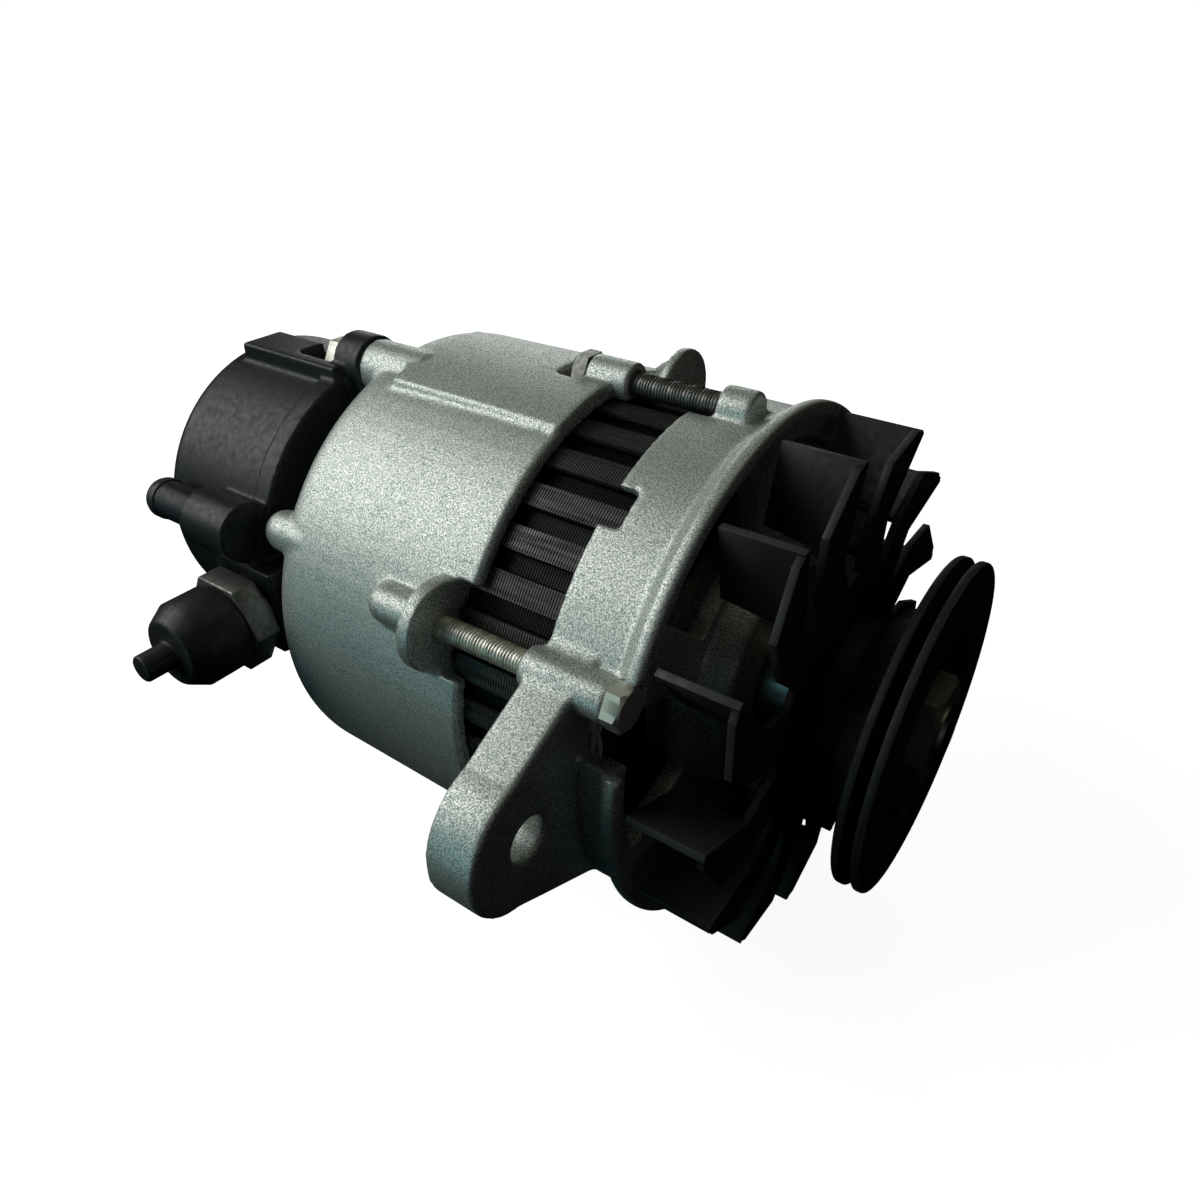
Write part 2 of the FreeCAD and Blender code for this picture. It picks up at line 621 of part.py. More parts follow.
def stator_core():
    body = doc.addObject("PartDesign::Body", "stator_core_body")
    sketch = sketch_on(body, "core_rings", "YZ_Plane")
    for index, radius in enumerate((S.core_radius, S.core_bore)):
        sketch.addGeometry(Part.Circle(Vector(0, 0, 0), Vector(0, 0, 1), radius.number), False)
        sketch.addConstraint(Sketcher.Constraint("Coincident", index, 3, -1, 1))
        number = sketch.addConstraint(Sketcher.Constraint("Radius", index, radius.number))
        sketch.setExpression(f"Constraints[{number}]", radius.formula)
    sketch.setExpression("AttachmentOffset.Base.z", core_back.formula)
    pad = body.newObject("PartDesign::Pad", "core_stack")
    pad.Profile = sketch
    bind(pad, Length=core_front - core_back)
    half_slot = S.slot_width / 2
    mouth = S.slot_width * 0.28
    slot_bottom = S.core_bore + S.slot_depth
    slot = sketch_on(body, "core_slot", "YZ_Plane")
    outline(slot, [
        (S.core_bore - 2, -mouth), (S.core_bore + 1.2, -mouth), (S.core_bore + 1.2, -half_slot),
        (slot_bottom, -half_slot), (slot_bottom, half_slot), (S.core_bore + 1.2, half_slot),
        (S.core_bore + 1.2, mouth), (S.core_bore - 2, mouth),
    ])
    groove = sketch_on(body, "core_groove", "YZ_Plane")
    half_gap = S.rib_gap / 2
    outline(groove, [
        (S.core_radius + 2, -half_gap - 0.4), (S.core_radius + 2, half_gap + 0.4),
        (S.core_radius - S.rib_depth, half_gap), (S.core_radius - S.rib_depth, -half_gap),
    ])
    cuts = []
    for sketch in (slot, groove):
        sketch.setExpression("AttachmentOffset.Base.z", (core_front + 1).formula)
        pocket = body.newObject("PartDesign::Pocket", f"{sketch.Name}_cut")
        pocket.Profile = sketch
        bind(pocket, Length=core_front - core_back + 2)
        cuts.append(pocket)
    doc.recompute()
    pattern = body.newObject("PartDesign::PolarPattern", "core_pattern")
    pattern.Originals = cuts
    pattern.Axis = (origin_part(body, "X_Axis"), [""])
    pattern.Angle = 360
    pattern.Occurrences = int(S.slot_count)
    pattern.setExpression("Occurrences", S.slot_count.formula)
    body.Tip = pattern
    return body


def stator_winding():
    inner = S.core_bore + 1.6
    outer = S.core_bore + S.slot_depth - 0.3
    ring_face = 0.4
    rings = []
    for side, start, sign in (("front", core_front, 1), ("rear", core_back, -1)):
        near = start + sign * ring_face
        far = near + sign * S.winding_height
        rings.append(turned(f"end_turns_{side}", [
            (near, inner), (near, outer), (far - sign * 2.5, outer + 1.2), (far, outer - 1.4),
            (far, inner + 1.6), (far - sign * 2.5, inner),
        ]))
    bars = ring_of("slot_bar", int(S.slot_count), lambda name, angle: spoke(
        name, core_front - core_back + 2, S.slot_width - 0.6, outer - inner, core_back - 1, inner, angle))
    return fuse("winding", *rings, *bars)


# Bearings: inner ring, outer ring, cage and balls

def bearing(name, bore, outside, width, back, ball_radius, ball_count):
    front = back + width
    middle = back + width / 2
    pitch = (bore + outside) / 2
    race = ball_radius * 0.62
    depth = ball_radius * 0.82
    inner_shoulder = pitch - ball_radius * 0.62
    outer_shoulder = pitch + ball_radius * 0.62
    gap = S.running_gap * 2
    inner = turned(f"{name}_inner_body", [
        (back, bore), (front, bore), (front, inner_shoulder), (middle + depth, inner_shoulder),
        (middle + race * 0.6, pitch - ball_radius - gap), (middle - race * 0.6, pitch - ball_radius - gap),
        (middle - depth, inner_shoulder), (back, inner_shoulder),
    ])
    outer = turned(f"{name}_outer_body", [
        (back, outside), (back, outer_shoulder), (middle - depth, outer_shoulder),
        (middle - race * 0.6, pitch + ball_radius + gap), (middle + race * 0.6, pitch + ball_radius + gap),
        (middle + depth, outer_shoulder), (front, outer_shoulder), (front, outside),
    ])
    ring = tube(f"{name}_cage_ring", pitch - ball_radius * 0.42, pitch + ball_radius * 0.42,
                middle - ball_radius * 1.18, middle + ball_radius * 1.18)
    balls = []
    pockets = []
    for index in range(int(ball_count)):
        y, z = polar(pitch, index * 360.0 / int(ball_count))
        balls.append(sphere(f"{name}_ball_{index}", ball_radius, middle, y, z))
        pockets.append(sphere(f"{name}_pocket_{index}", ball_radius + gap, middle, y, z))
    piece(f"{name}_inner_ring", inner)
    piece(f"{name}_outer_ring", outer)
    piece(f"{name}_cage", cut(f"{name}_cage_body", ring, *pockets))
    piece(f"{name}_balls", group(f"{name}_ball_set", balls))


# Rotor: shaft, claw poles, field coil, slip rings

def rotor_shaft():
    nut_seat = washer_seat + S.washer_thickness - 0.4
    thread_end = nut_seat + S.nut_height + 2
    poles_front = rotor_middle + S.rotor_length / 2
    poles_back = rotor_middle - S.rotor_length / 2
    spline_end = pump_front - 5 - S.pump_rotor_length + 2
    return turned("shaft_body", [
        (spline_end, 0), (spline_end, S.rear_shaft_radius - 1.5),
        (rear_bearing_back - 0.1, S.rear_shaft_radius - 1.5), (rear_bearing_back - 0.1, S.rear_shaft_radius),
        (rear_bearing_front + 0.5, S.rear_shaft_radius), (rear_bearing_front + 0.5, S.shaft_radius),
        (poles_back - 1, S.shaft_radius), (poles_back - 1, S.core_shaft_radius),
        (poles_front + 1, S.core_shaft_radius), (poles_front + 1, S.shaft_radius + 1.5),
        (front_bearing_back, S.shaft_radius + 1.5), (front_bearing_back, S.shaft_radius),
        (nut_seat, S.shaft_radius), (nut_seat, S.shaft_radius - 0.5),
        (thread_end - 1, S.shaft_radius - 0.5), (thread_end, S.shaft_radius - 1.5), (thread_end, 0),
    ])


def rotor_poles():
    """Both pole pieces, cut from blanks by tapered gaps between their claws."""
    count = int(S.pole_count)
    radius = S.core_bore - S.air_gap
    for name, outer_face, direction, phase in (
        ("claw_pole_front", rotor_middle + S.rotor_length / 2, -1, 0.0),
        ("claw_pole_rear", rotor_middle - S.rotor_length / 2, 1, 180.0 / count),
    ):
        disc_inside = outer_face + direction * S.pole_disc
        tip = outer_face + direction * (S.rotor_length - 2.5)
        claw_inside = radius - 8.5
        blank = turned(f"{name}_blank", [
            (outer_face, S.core_shaft_radius), (disc_inside, S.core_shaft_radius), (disc_inside, claw_inside),
            (tip, radius - 3.2), (tip, radius), (outer_face + direction * 1.5, radius),
            (outer_face, radius - 1.5),
        ])
        root_half = radius * 0.185
        tip_half = radius * 0.385
        gaps = []
        for index in range(count):
            angle = phase + (index + 0.5) * 360.0 / count
            gap = doc.addObject("Part::Feature", f"{name}_gap_{index}")
            gap.Shape = claw_gap(float(outer_face), direction, float(root_half), float(tip_half))
            gap.Placement = Placement(Vector(0, 0, 0), Rotation(Vector(1, 0, 0), angle))
            gaps.append(gap)
        piece(name, cut(f"{name}_body", blank, *gaps))


def claw_gap(outer_face, direction, root_half, tip_half):
    """The space between two neighbouring claws, which widens towards their tips, along +Y."""
    length = float(S.rotor_length) + 2
    start = outer_face - direction
    floor = float(S.core_bore) * 0.66
    top = float(S.core_bore) + 4
    corners = [(start, -root_half), (start, root_half), (start + direction * length, tip_half),
               (start + direction * length, -tip_half)]
    points = [Vector(x, floor, z) for x, z in corners]
    face = Part.Face(Part.makePolygon(points + points[:1]))
    return face.extrude(Vector(0, top - floor, 0))


def field_winding():
    half = S.coil_width / 2
    cheek = as_size(1.4)
    core = S.core_shaft_radius + 9
    outer = S.core_bore - S.air_gap - 10.5
    piece("field_core", tube("field_core_body", S.core_shaft_radius, core,
                             rotor_middle - S.rotor_length / 2 + S.pole_disc,
                             rotor_middle + S.rotor_length / 2 - S.pole_disc))
    piece("coil_bobbin", turned("bobbin_body", [
        (rotor_middle - half - cheek, core), (rotor_middle + half + cheek, core),
        (rotor_middle + half + cheek, outer), (rotor_middle + half, outer),
        (rotor_middle + half, core + 1.4), (rotor_middle - half, core + 1.4),
        (rotor_middle - half, outer), (rotor_middle - half - cheek, outer),
    ]))
    piece("field_coil", turned("coil_body", [
        (rotor_middle - half, core + 1.4), (rotor_middle + half, core + 1.4),
        (rotor_middle + half, outer - 1.2), (rotor_middle + half - 1.2, outer - 0.4),
        (rotor_middle - half + 1.2, outer - 0.4), (rotor_middle - half, outer - 1.2),
    ]))


def slip_ring_stations():
    """Middles of the front and rear slip rings along the shaft."""
    rear = rear_bearing_front + 6.5
    return rear + S.slip_ring_width + 3, rear


def slip_rings():
    ring_front, ring_rear = slip_ring_stations()
    half = S.slip_ring_width / 2
    core = S.slip_ring_radius - 2.5
    piece("slip_ring_insulator", turned("slip_insulator_body", [
        (ring_rear - half - 1.5, S.shaft_radius), (ring_front + half + 2.5, S.shaft_radius),
        (ring_front + half + 2.5, core + 1), (ring_front + half, core + 1), (ring_front + half, core),
        (ring_front - half, core), (ring_front - half, core + 1.8), (ring_rear + half, core + 1.8),
        (ring_rear + half, core), (ring_rear - half, core), (ring_rear - half, core + 1),
        (ring_rear - half - 1.5, core + 1),
    ]))
    piece("slip_ring_front", tube("slip_front_body", core, S.slip_ring_radius,
                                  ring_front - half, ring_front + half))
    piece("slip_ring_rear", tube("slip_rear_body", core, S.slip_ring_radius,
                                 ring_rear - half, ring_rear + half))


# Fan, spacer, pulley, washer and nut on the shaft's front end

BLADE_ANGLES = (63, 96, 120, 148, 178, 203, 230, 259, 285, 311, 339, 6, 33)


def fan_blade(angle):
    """One blade with its arm: sheet folded back from the disc along a slanted line."""
    front = float(lip + S.fan_front)
    sheet_t = float(S.sheet_thickness)
    tip = float(S.fan_radius)
    inner = tip * 0.70
    disc = float(S.fan_disc_radius) - 3
    depth = float(S.fan_depth)

    def at(x, radius, degrees):
        turn = math.radians(angle + degrees)
        return Vector(x, radius * math.cos(turn), radius * math.sin(turn))

    arm_points = [at(front, disc, 26), at(front, inner, 24), at(front, tip * 0.90, 17), at(front, tip, 4),
                  at(front, tip, 0), at(front, inner, 9), at(front, disc, 2)]
    arm = Part.Face(Part.makePolygon(arm_points + arm_points[:1])).extrude(Vector(-sheet_t, 0, 0))
    outer_front = at(front, tip, 0)
    inner_front = at(front, inner, 9)
    outer_back = outer_front + Vector(-depth, 0, 0)
    inner_back = inner_front + Vector(-depth, 0, 0) + (outer_front - inner_front) * 0.12
    blade_points = [outer_front, outer_back, inner_back, inner_front]
    across = (inner_front - outer_front).cross(Vector(1, 0, 0)).normalize()
    if across.dot(at(0, tip, 20) - at(0, tip, 0)) < 0:
        across = across * -1
    blade = Part.Face(Part.makePolygon(blade_points + blade_points[:1])).extrude(across * sheet_t)
    return arm.fuse(blade)


def fan():
    front = float(lip + S.fan_front)
    disc = Part.makeCylinder(float(S.fan_disc_radius), float(S.sheet_thickness),
                             Vector(front - float(S.sheet_thickness), 0, 0), Vector(1, 0, 0))
    blades = [fan_blade(angle) for angle in BLADE_ANGLES]
    hole = Part.makeCylinder(float(S.shaft_radius + S.running_gap), 10, Vector(front - 5, 0, 0),
                             Vector(1, 0, 0))
    feature = doc.addObject("Part::Feature", "fan_sheet")
    feature.Shape = disc.multiFuse(blades).cut(hole).removeSplitter()
    return feature


def front_end():
    fan_front = lip + S.fan_front
    fan_back = fan_front - S.sheet_thickness
    bore = S.shaft_radius + S.running_gap
    piece("fan", fan())
    piece("fan_spacer", tube("spacer_body", bore, S.shaft_radius + 4, front_bearing_front, fan_back))
    rim = S.pulley_half_width
    hub = S.groove_root_radius - 9
    cup = S.nut_flats / 2 + 8
    piece("pulley_rear_half", turned("pulley_rear_body", [
        (fan_front, bore), (fan_front, hub - 2), (fan_front + 1, hub - 1), (web_split - 4, hub - 1),
        (web_split, cup + 5), (-rim, cup + 8), (-rim, S.pulley_radius - 0.4), (-rim + 0.4, S.pulley_radius),
        (-S.groove_half_width, S.pulley_radius), (-S.groove_root_half, S.groove_root_radius),
        (0, S.groove_root_radius), (0, cup + 4), (web_split, cup), (web_split, bore),
    ]))
    piece("pulley_front_half", turned("pulley_front_body", [
        (web_split, bore), (web_split, cup), (0, cup + 4), (0, S.groove_root_radius),
        (S.groove_root_half, S.groove_root_radius),
        (S.groove_half_width, S.pulley_radius), (rim - 0.4, S.pulley_radius),
        (rim, S.pulley_radius - 0.4), (rim, cup + 3.5), (washer_seat + 1, cup - 1.5), (washer_seat, cup - 3),
        (washer_seat, bore),
    ]))
    seat = washer_seat
    piece("nut_washer", tube("washer_body", bore, S.nut_flats / 2 + 2.6, seat, seat + S.washer_thickness))
    nut = hexagon("nut_bar", S.nut_flats, S.nut_height, seat + S.washer_thickness)
    dome = turned("nut_dome", [
        (seat + S.washer_thickness, 0), (seat + S.washer_thickness, S.nut_flats / 2 + 0.4),
        (seat + S.washer_thickness + 1, S.nut_flats / 2 + 1.9),
        (seat + S.washer_thickness + S.nut_height - 1.2, S.nut_flats / 2 + 1.9),
        (seat + S.washer_thickness + S.nut_height, S.nut_flats / 2 + 0.2),
        (seat + S.washer_thickness + S.nut_height, 0),
    ])
    nut_hole = cylinder("nut_hole", S.shaft_radius - 0.5, S.nut_height + 2, seat + S.washer_thickness - 1)
    piece("pulley_nut", cut("nut_body", common("nut_chamfered", nut, dome), nut_hole))


# Retainer plate behind the front bearing, with its screws

def bearing_retainer():
    back = front_bearing_back - 2
    screw_circle = S.front_bearing_radius + 3.6
    plate = tube("retainer_plate_body", S.front_bearing_radius - 5, S.hub_radius - 0.5, back,
                 front_bearing_back)
    holes = []
    screws = []
    for index in range(4):
        y, z = polar(screw_circle, 45 + 90 * index)
        holes.append(cylinder(f"plate_hole_{index}", 2.2, 4, back - 1, y, z))
        head = cylinder(f"retainer_screw_head_{index}", 3.4, 2, back - 2, y, z)
        shank = cylinder(f"retainer_screw_shank_{index}", 2.0, 9.5, back - 1, y, z)
        screws.append(fuse(f"retainer_screw_{index}", head, shank))
    piece("bearing_retainer", cut("retainer_plate", plate, *holes))
    piece("retainer_screws", group("retainer_screw_set", screws))


# Through bolts: two have their heads in the bracket's front, and two in the rear housing

def through_bolts():
    bolts = []
    for index, angle in enumerate(bolt_angles()):
        y, z = polar(S.bolt_circle, angle)
        rear = index % 2 == 1
        seat = rear_head_seat - S.bolt_head_height if rear else bolt_seat
        back = seat + 1 if rear else bolt_end
        front = band_back + 12.5 if rear else bolt_seat + 1
        head = hexagon(f"bolt_head_{index}", S.bolt_head_radius * 2, S.bolt_head_height, seat, y, z)
        shank = cylinder(f"bolt_shank_{index}", S.bolt_radius, front - back, back, y, z)
        bolts.append(fuse(f"through_bolt_{index}", head, shank))
    return group("through_bolt_set", bolts)


# Rectifier: two heat sinks with pressed diodes, insulators and screws

def rectifier():
    sink_x = housing_back + S.rear_wall + 7
    thickness = as_size(3.0)
    inner = as_size(30.0)
    outer = S.body_radius - 11
    start, sweep = -150.0, 110.0
    for label, offset in (("negative", 0.0), ("positive", 11.0)):
        x = sink_x + offset
        slice_ = sector(f"{label}_sink_slice", outer, thickness, x, start, sweep)
        core = cylinder(f"{label}_sink_core", inner, thickness + 2, x - 1)
        holes = []
        diodes = []
        for index in range(3):
            shift = 8.0 if label == "positive" else -8.0
            y, z = polar(as_size(42.0), start + sweep / 2 + (index - 1) * 34 + shift)
            holes.append(cylinder(f"{label}_diode_hole_{index}", 5.0, thickness + 2, x - 1, y, z))
            can = cylinder(f"{label}_diode_can_{index}", 5.0, thickness + 1, x, y, z)
            lead = cylinder(f"{label}_diode_lead_{index}", 1.0, 4, x + thickness, y, z)
            diodes.append(fuse(f"{label}_diode_{index}", can, lead))
        piece(f"rectifier_plate_{label}", cut(f"{label}_sink", slice_, core, *holes))
        piece(f"diodes_{label}", group(f"{label}_diodes", diodes))
    spacers = []
    for index, angle in enumerate((start + 4.5, start + sweep - 4.5)):
        y, z = polar(as_size(48.5), angle)
        spacers.append(cylinder(f"sink_foot_{index}", 3.4, 7, housing_back + S.rear_wall, y, z))
        spacers.append(cylinder(f"sink_spacer_{index}", 3.4, 8, sink_x + thickness, y, z))
    piece("rectifier_insulators", group("sink_insulators", spacers))


# Regulator with its brush holder, brushes and springs

def brush_gear():
    ring_front, ring_rear = slip_ring_stations()
    rest_gap = as_size(0.05)
    foot = S.slip_ring_radius + rest_gap
    top = foot + S.brush_length
    box_floor = S.slip_ring_radius + 3.5
    box_top = top + S.brush_travel + 7
    half_depth = S.brush_depth / 2
    half_width = S.brush_width / 2
    front = ring_front + half_width + 3
    back = ring_rear - half_width - 3
    holder = block("holder_block", front - back, S.brush_depth + 6, box_top - box_floor, back,
                   -half_depth - 3, box_floor)
    wells = []
    for name, middle in (("front", ring_front), ("rear", ring_rear)):
        gap = S.running_gap
        wells.append(block(f"well_{name}", S.brush_width + gap * 2, S.brush_depth + gap * 2,
                           box_top - box_floor - 2 + 1, middle - half_width - gap, -half_depth - gap,
                           box_floor - 1))
        brush = block(f"brush_{name}_block", S.brush_width, S.brush_depth, S.brush_length,
                      middle - half_width, -half_depth, foot)
        piece(f"brush_{name}", brush)
        spring_bottom = top
        spring_top = box_top - 2
        piece(f"brush_spring_{name}", turned_up(f"spring_{name}", 2.0, spring_bottom, spring_top, middle))
    piece("brush_holder", cut("holder_body", holder, *wells))
    case = block("regulator_case", front - back + 8, 30, 9, back - 4, -15, box_top)
    fins = [block(f"regulator_fin_{index}", front - back + 8, 1.6, 3, back - 4, -13 + index * 6.1, box_top + 9)
            for index in range(5)]
    wall = housing_back + S.rear_wall
    posts = [cylinder(f"regulator_post_{index}", 3.5, back - 4 - wall, wall, side, box_top + 4.5)
             for index, side in enumerate((-10, 10))]
    piece("voltage_regulator", fuse("regulator_body", case, *fins, *posts))


def turned_up(name, radius, bottom, top, x):
    """A sleeve that stands for a compressed coil spring, upright over a brush."""
    outer = cylinder(f"{name}_outer", radius, top - bottom, x, 0, bottom, along="Z")
    inner = cylinder(f"{name}_inner", as_size(radius) - 0.7, top - bottom + 2, x, 0, bottom - 1, along="Z")
    return cut(f"{name}_coil", outer, inner)


# Output terminal on the rear wall

def output_terminal():
    y, z = polar(S.terminal_reach, S.terminal_angle)
    wall_in = housing_back + S.rear_wall
    shank = S.stud_radius + 0.6
    nut_back = housing_back - 7.5
    flange_out = cylinder("terminal_flange_out", 5.8, 2.5, housing_back - 2.5, y, z)
    sleeve = cylinder("terminal_sleeve", 4.2, S.rear_wall, housing_back, y, z)
    flange_in = cylinder("terminal_flange_in", 5.6, 2.5, wall_in, y, z)
    bore = cylinder("terminal_bore", shank, 20, housing_back - 5, y, z)
    piece("terminal_insulator", cut("terminal_bush", fuse("terminal_bush_solid", flange_out, sleeve, flange_in),
                                    bore))
    head = hexagon("terminal_head", 9, 3.5, wall_in + 2.5, y, z)
    neck = cylinder("terminal_neck", shank, wall_in + 4 - nut_back, nut_back, y, z)
    stud = cylinder("terminal_stud", S.stud_radius, S.stud_length + 2, nut_back - S.stud_length, y, z)
    piece("output_terminal", fuse("terminal_body", head, neck, stud))
    nut = hexagon("terminal_nut_bar", 10, 5, nut_back, y, z)
    hole = cylinder("terminal_nut_hole", shank, 8, nut_back - 1.5, y, z)
    piece("terminal_nut", cut("terminal_nut_body", nut, hole))


# Vacuum pump: body, end plate, rotor, vanes, seal, bolts, inlet pipe and capped union

def drum_axis():
    return polar(S.pump_offset, S.pump_angle)


def vacuum_pump():
    drum_y, drum_z = drum_axis()
    bore_y, bore_z = polar(S.pump_eccentricity, S.pump_angle)
    plate_back = pump_front - S.pump_plate_thickness
    chamber_front = pump_front - 5
    chamber_back = chamber_front - S.pump_rotor_length - S.clearance
    drum = turned("pump_drum_turn", [
        (pump_back, 0), (pump_back, S.pump_radius - 3), (pump_back + 0.8, S.pump_radius - 1),
        (pump_back + 3, S.pump_radius), (plate_back + 1, S.pump_radius), (plate_back + 1, 0),
    ])
    put(drum, 0, drum_y, drum_z, Rotation())
    collar = cylinder("pump_collar", S.pump_radius + 1.5, 6, plate_back - 5, drum_y, drum_z)
    plate = cylinder("pump_plate", S.pump_plate_radius, S.pump_plate_thickness, plate_back)
    rib = block("pump_rib", plate_back - pump_back - 6, 13, 8, pump_back + 6, drum_y - 12,
                drum_z + S.pump_radius - 5)
    ear_back = plate_back - S.pump_ear_setback
    ears = []
    ear_holes = []
    bolts = []
    for index, angle in enumerate(PUMP_EAR_ANGLES):
        y, z = polar(S.pump_ear_reach, angle)
        ears.append(cylinder(f"pump_ear_{index}", 8.0, S.pump_plate_thickness + 1, ear_back - 1, y, z))
        ears.append(spoke(f"pump_ear_arm_{index}", S.pump_plate_thickness, 16, 21, ear_back, 38, angle))
        ear_holes.append(cylinder(f"pump_ear_hole_{index}", 3.0, S.pump_plate_thickness + 8,
                                  ear_back - 5, y, z))
        ear_holes.append(cylinder(f"pump_ear_spotface_{index}", 7.4, 14, ear_back - 15, y, z))
        head = hexagon(f"pump_bolt_head_{index}", 10, 6, ear_back - 7, y, z)
        shank = cylinder(f"pump_bolt_shank_{index}", 3.0, S.pump_plate_thickness + 10, ear_back - 2, y, z)
        bolts.append(fuse(f"pump_bolt_{index}", head, shank))
    pipe_back = plate_back - 17
    pipe_y, pipe_z = -S.pipe_reach, S.pipe_height
    pipe_boss = cylinder("pump_pipe_boss", 8, 17, pipe_back, pipe_y, pipe_z)
    pipe_web = block("pump_pipe_web", 13, 22, 9, pipe_back, pipe_y, pipe_z - 8)
    union_y, union_z = -S.union_reach, S.union_height
    union_x = pump_front - 11
    union_block = block("pump_union_block", 22, 26, 24, union_x - 11, union_y, union_z - 10)
    solid = fuse("pump_solid", drum, collar, plate, rib, pipe_boss, pipe_web, union_block, *ears)
    chamber = cylinder("pump_chamber", S.pump_bore_radius, pump_front - chamber_back + 1, chamber_back,
                       bore_y, bore_z)
    plate_seat = cylinder("pump_end_seat", S.pump_bore_radius + 3, 6, chamber_front, bore_y, bore_z)
    port = cylinder("pump_port", 8, 19, union_x, union_y - 1, union_z, along="Y")
    pipe_hole = cylinder("pump_pipe_hole", 4.1, 10, pipe_back - 1, pipe_y, pipe_z)
    piece("pump_body", cut("pump_casting", solid, chamber, plate_seat, port, pipe_hole, *ear_holes))
    end_plate = cylinder("end_plate_disc", S.pump_bore_radius + 3, 5, chamber_front, bore_y, bore_z)
    shaft_hole = cylinder("end_plate_hole", S.rear_shaft_radius - 1.2, 10, pump_front - 7)
    piece("pump_end_plate", cut("end_plate", end_plate, shaft_hole))
    piece("pump_gasket", tube("gasket_body", as_size(13.0), S.pump_plate_radius - 0.5, pump_front, housing_back))
    piece("shaft_oil_seal", tube("seal_body", S.rear_shaft_radius - 1.45, S.rear_shaft_radius + 4,
                                 housing_back + 0.3, rear_bearing_back - 0.2))
    rotor_back = chamber_back + S.clearance / 2
    rotor = cylinder("pump_rotor_drum", S.pump_rotor_radius, S.pump_rotor_length, rotor_back)
    rotor_hole = cylinder("pump_rotor_hole", S.rear_shaft_radius - 1.5, 60, rotor_back - 20)
    slots = []
    vanes = []
    for index in range(int(S.vane_count)):
        angle = 45 + index * 360.0 / int(S.vane_count)
        inner = S.pump_rotor_radius - S.vane_height
        slots.append(spoke(f"vane_slot_{index}", S.pump_rotor_length + 2, S.vane_thickness,
                           S.vane_height + 2, rotor_back - 1, inner, angle))
        vanes.append(spoke(f"vane_{index}", S.pump_rotor_length, S.vane_thickness,
                           S.vane_height - 0.4, rotor_back, inner, angle))
    piece("pump_rotor", cut("pump_rotor_body", rotor, rotor_hole, *slots))
    piece("pump_vanes", group("pump_vane_set", vanes))
    piece("pump_bolts", group("pump_bolt_set", bolts))
    pipe = cylinder("inlet_pipe_tube", 5.2, 18.5, pipe_back - 18.5, pipe_y, pipe_z)
    pipe_tail = cylinder("inlet_pipe_tail", 4.1, 9, pipe_back - 1, pipe_y, pipe_z)
    pipe_bead = cylinder("inlet_pipe_bead", 5.6, 2.5, pipe_back - 17.5, pipe_y, pipe_z)
    pipe_bore = cylinder("inlet_pipe_bore", 2.9, 60, pipe_back - 50, pipe_y, pipe_z)
    piece("oil_inlet_pipe", cut("inlet_pipe", fuse("inlet_pipe_solid", pipe_tail, pipe, pipe_bead), pipe_bore))
    washer = cylinder("union_washer_disc", 10.6, 1.6, union_x, union_y, union_z, along="-Y")
    washer_hole = cylinder("union_washer_hole", 8.0, 6, union_x, union_y + 2, union_z, along="-Y")
    piece("union_washer", cut("union_washer_ring", washer, washer_hole))
    hexagon_y = union_y - 1.6
    collar_hex = hexagon("union_hexagon", S.union_flats, 7, union_x, hexagon_y, union_z, along="-Y")
    neck = cylinder("union_neck", 7.4, 22, union_x, hexagon_y, union_z, along="-Y")
    thread = cylinder("union_thread", 7.95, 12, union_x, union_y + 10, union_z, along="-Y")
    union_bore = cylinder("union_bore", 4.5, 60, union_x, union_y + 12, union_z, along="-Y")
    piece("vacuum_union", cut("union_body", fuse("union_solid", collar_hex, neck, thread), union_bore))
    cap_y = hexagon_y - 7.0
    cap_parts = [
        cylinder("cap_skirt", S.cap_radius, 11, union_x, cap_y, union_z, along="-Y"),
        cone("cap_shoulder", S.cap_radius, S.cap_radius - 3, 5, union_x, cap_y - 11, union_z, along="-Y"),
        cylinder("cap_stub", 3.6, 8, union_x, cap_y - 16, union_z, along="-Y"),
    ]
    cap_hole = cylinder("cap_hole", 7.4, 15, union_x, cap_y + 0, union_z, along="-Y")
    piece("union_cap", cut("cap_body", fuse("cap_solid", *cap_parts), cap_hole))


def main():
    piece("drive_end_bracket", drive_end_bracket())
    piece("rear_housing", rear_housing())
    piece("stator_core", stator_core())
    piece("stator_winding", stator_winding())
    piece("rotor_shaft", rotor_shaft())
    rotor_poles()
    field_winding()
    slip_rings()
    bearing("front_bearing", S.shaft_radius, S.front_bearing_radius, S.front_bearing_width,
            front_bearing_back, S.front_ball_radius, S.front_ball_count)
    bearing("rear_bearing", S.rear_shaft_radius, S.rear_bearing_radius, S.rear_bearing_width,
            rear_bearing_back, S.rear_ball_radius, S.rear_ball_count)
    bearing_retainer()
    front_end()
    piece("through_bolts", through_bolts())
    rectifier()
    brush_gear()
    output_terminal()
    vacuum_pump()
    doc.recompute()
    export()


def export():
    """Checks every object, then writes each sub-part's solids."""
    failed = [item.Name for item in doc.Objects if {"Invalid", "Error"} & set(item.State)]
    if failed:
        raise RuntimeError(f"failed features: {failed}")
    for label, feature in pieces.items():
        shape = feature.Shape
        if shape.isNull() or not shape.isValid() or not shape.Solids:
            raise RuntimeError(f"{label} has no valid solid")
    os.makedirs("parts", exist_ok=True)
    for label, feature in pieces.items():
        feature.Shape.exportStep(f"parts/{label}.step")
        print(f"{label}: {len(feature.Shape.Solids)} solids, {feature.Shape.Volume:.0f} mm3")


main()
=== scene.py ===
"""Looks of a belt-driven vehicle alternator that carries a vacuum pump on its rear end.

Lengths are in metres. The shaft lies along X with the pulley at +X, and Z is up.
"""

import logging
import math
from collections.abc import Callable, Iterable, Sequence
from dataclasses import dataclass
from enum import Enum

import bmesh
import bpy
from mathutils import Matrix, Vector


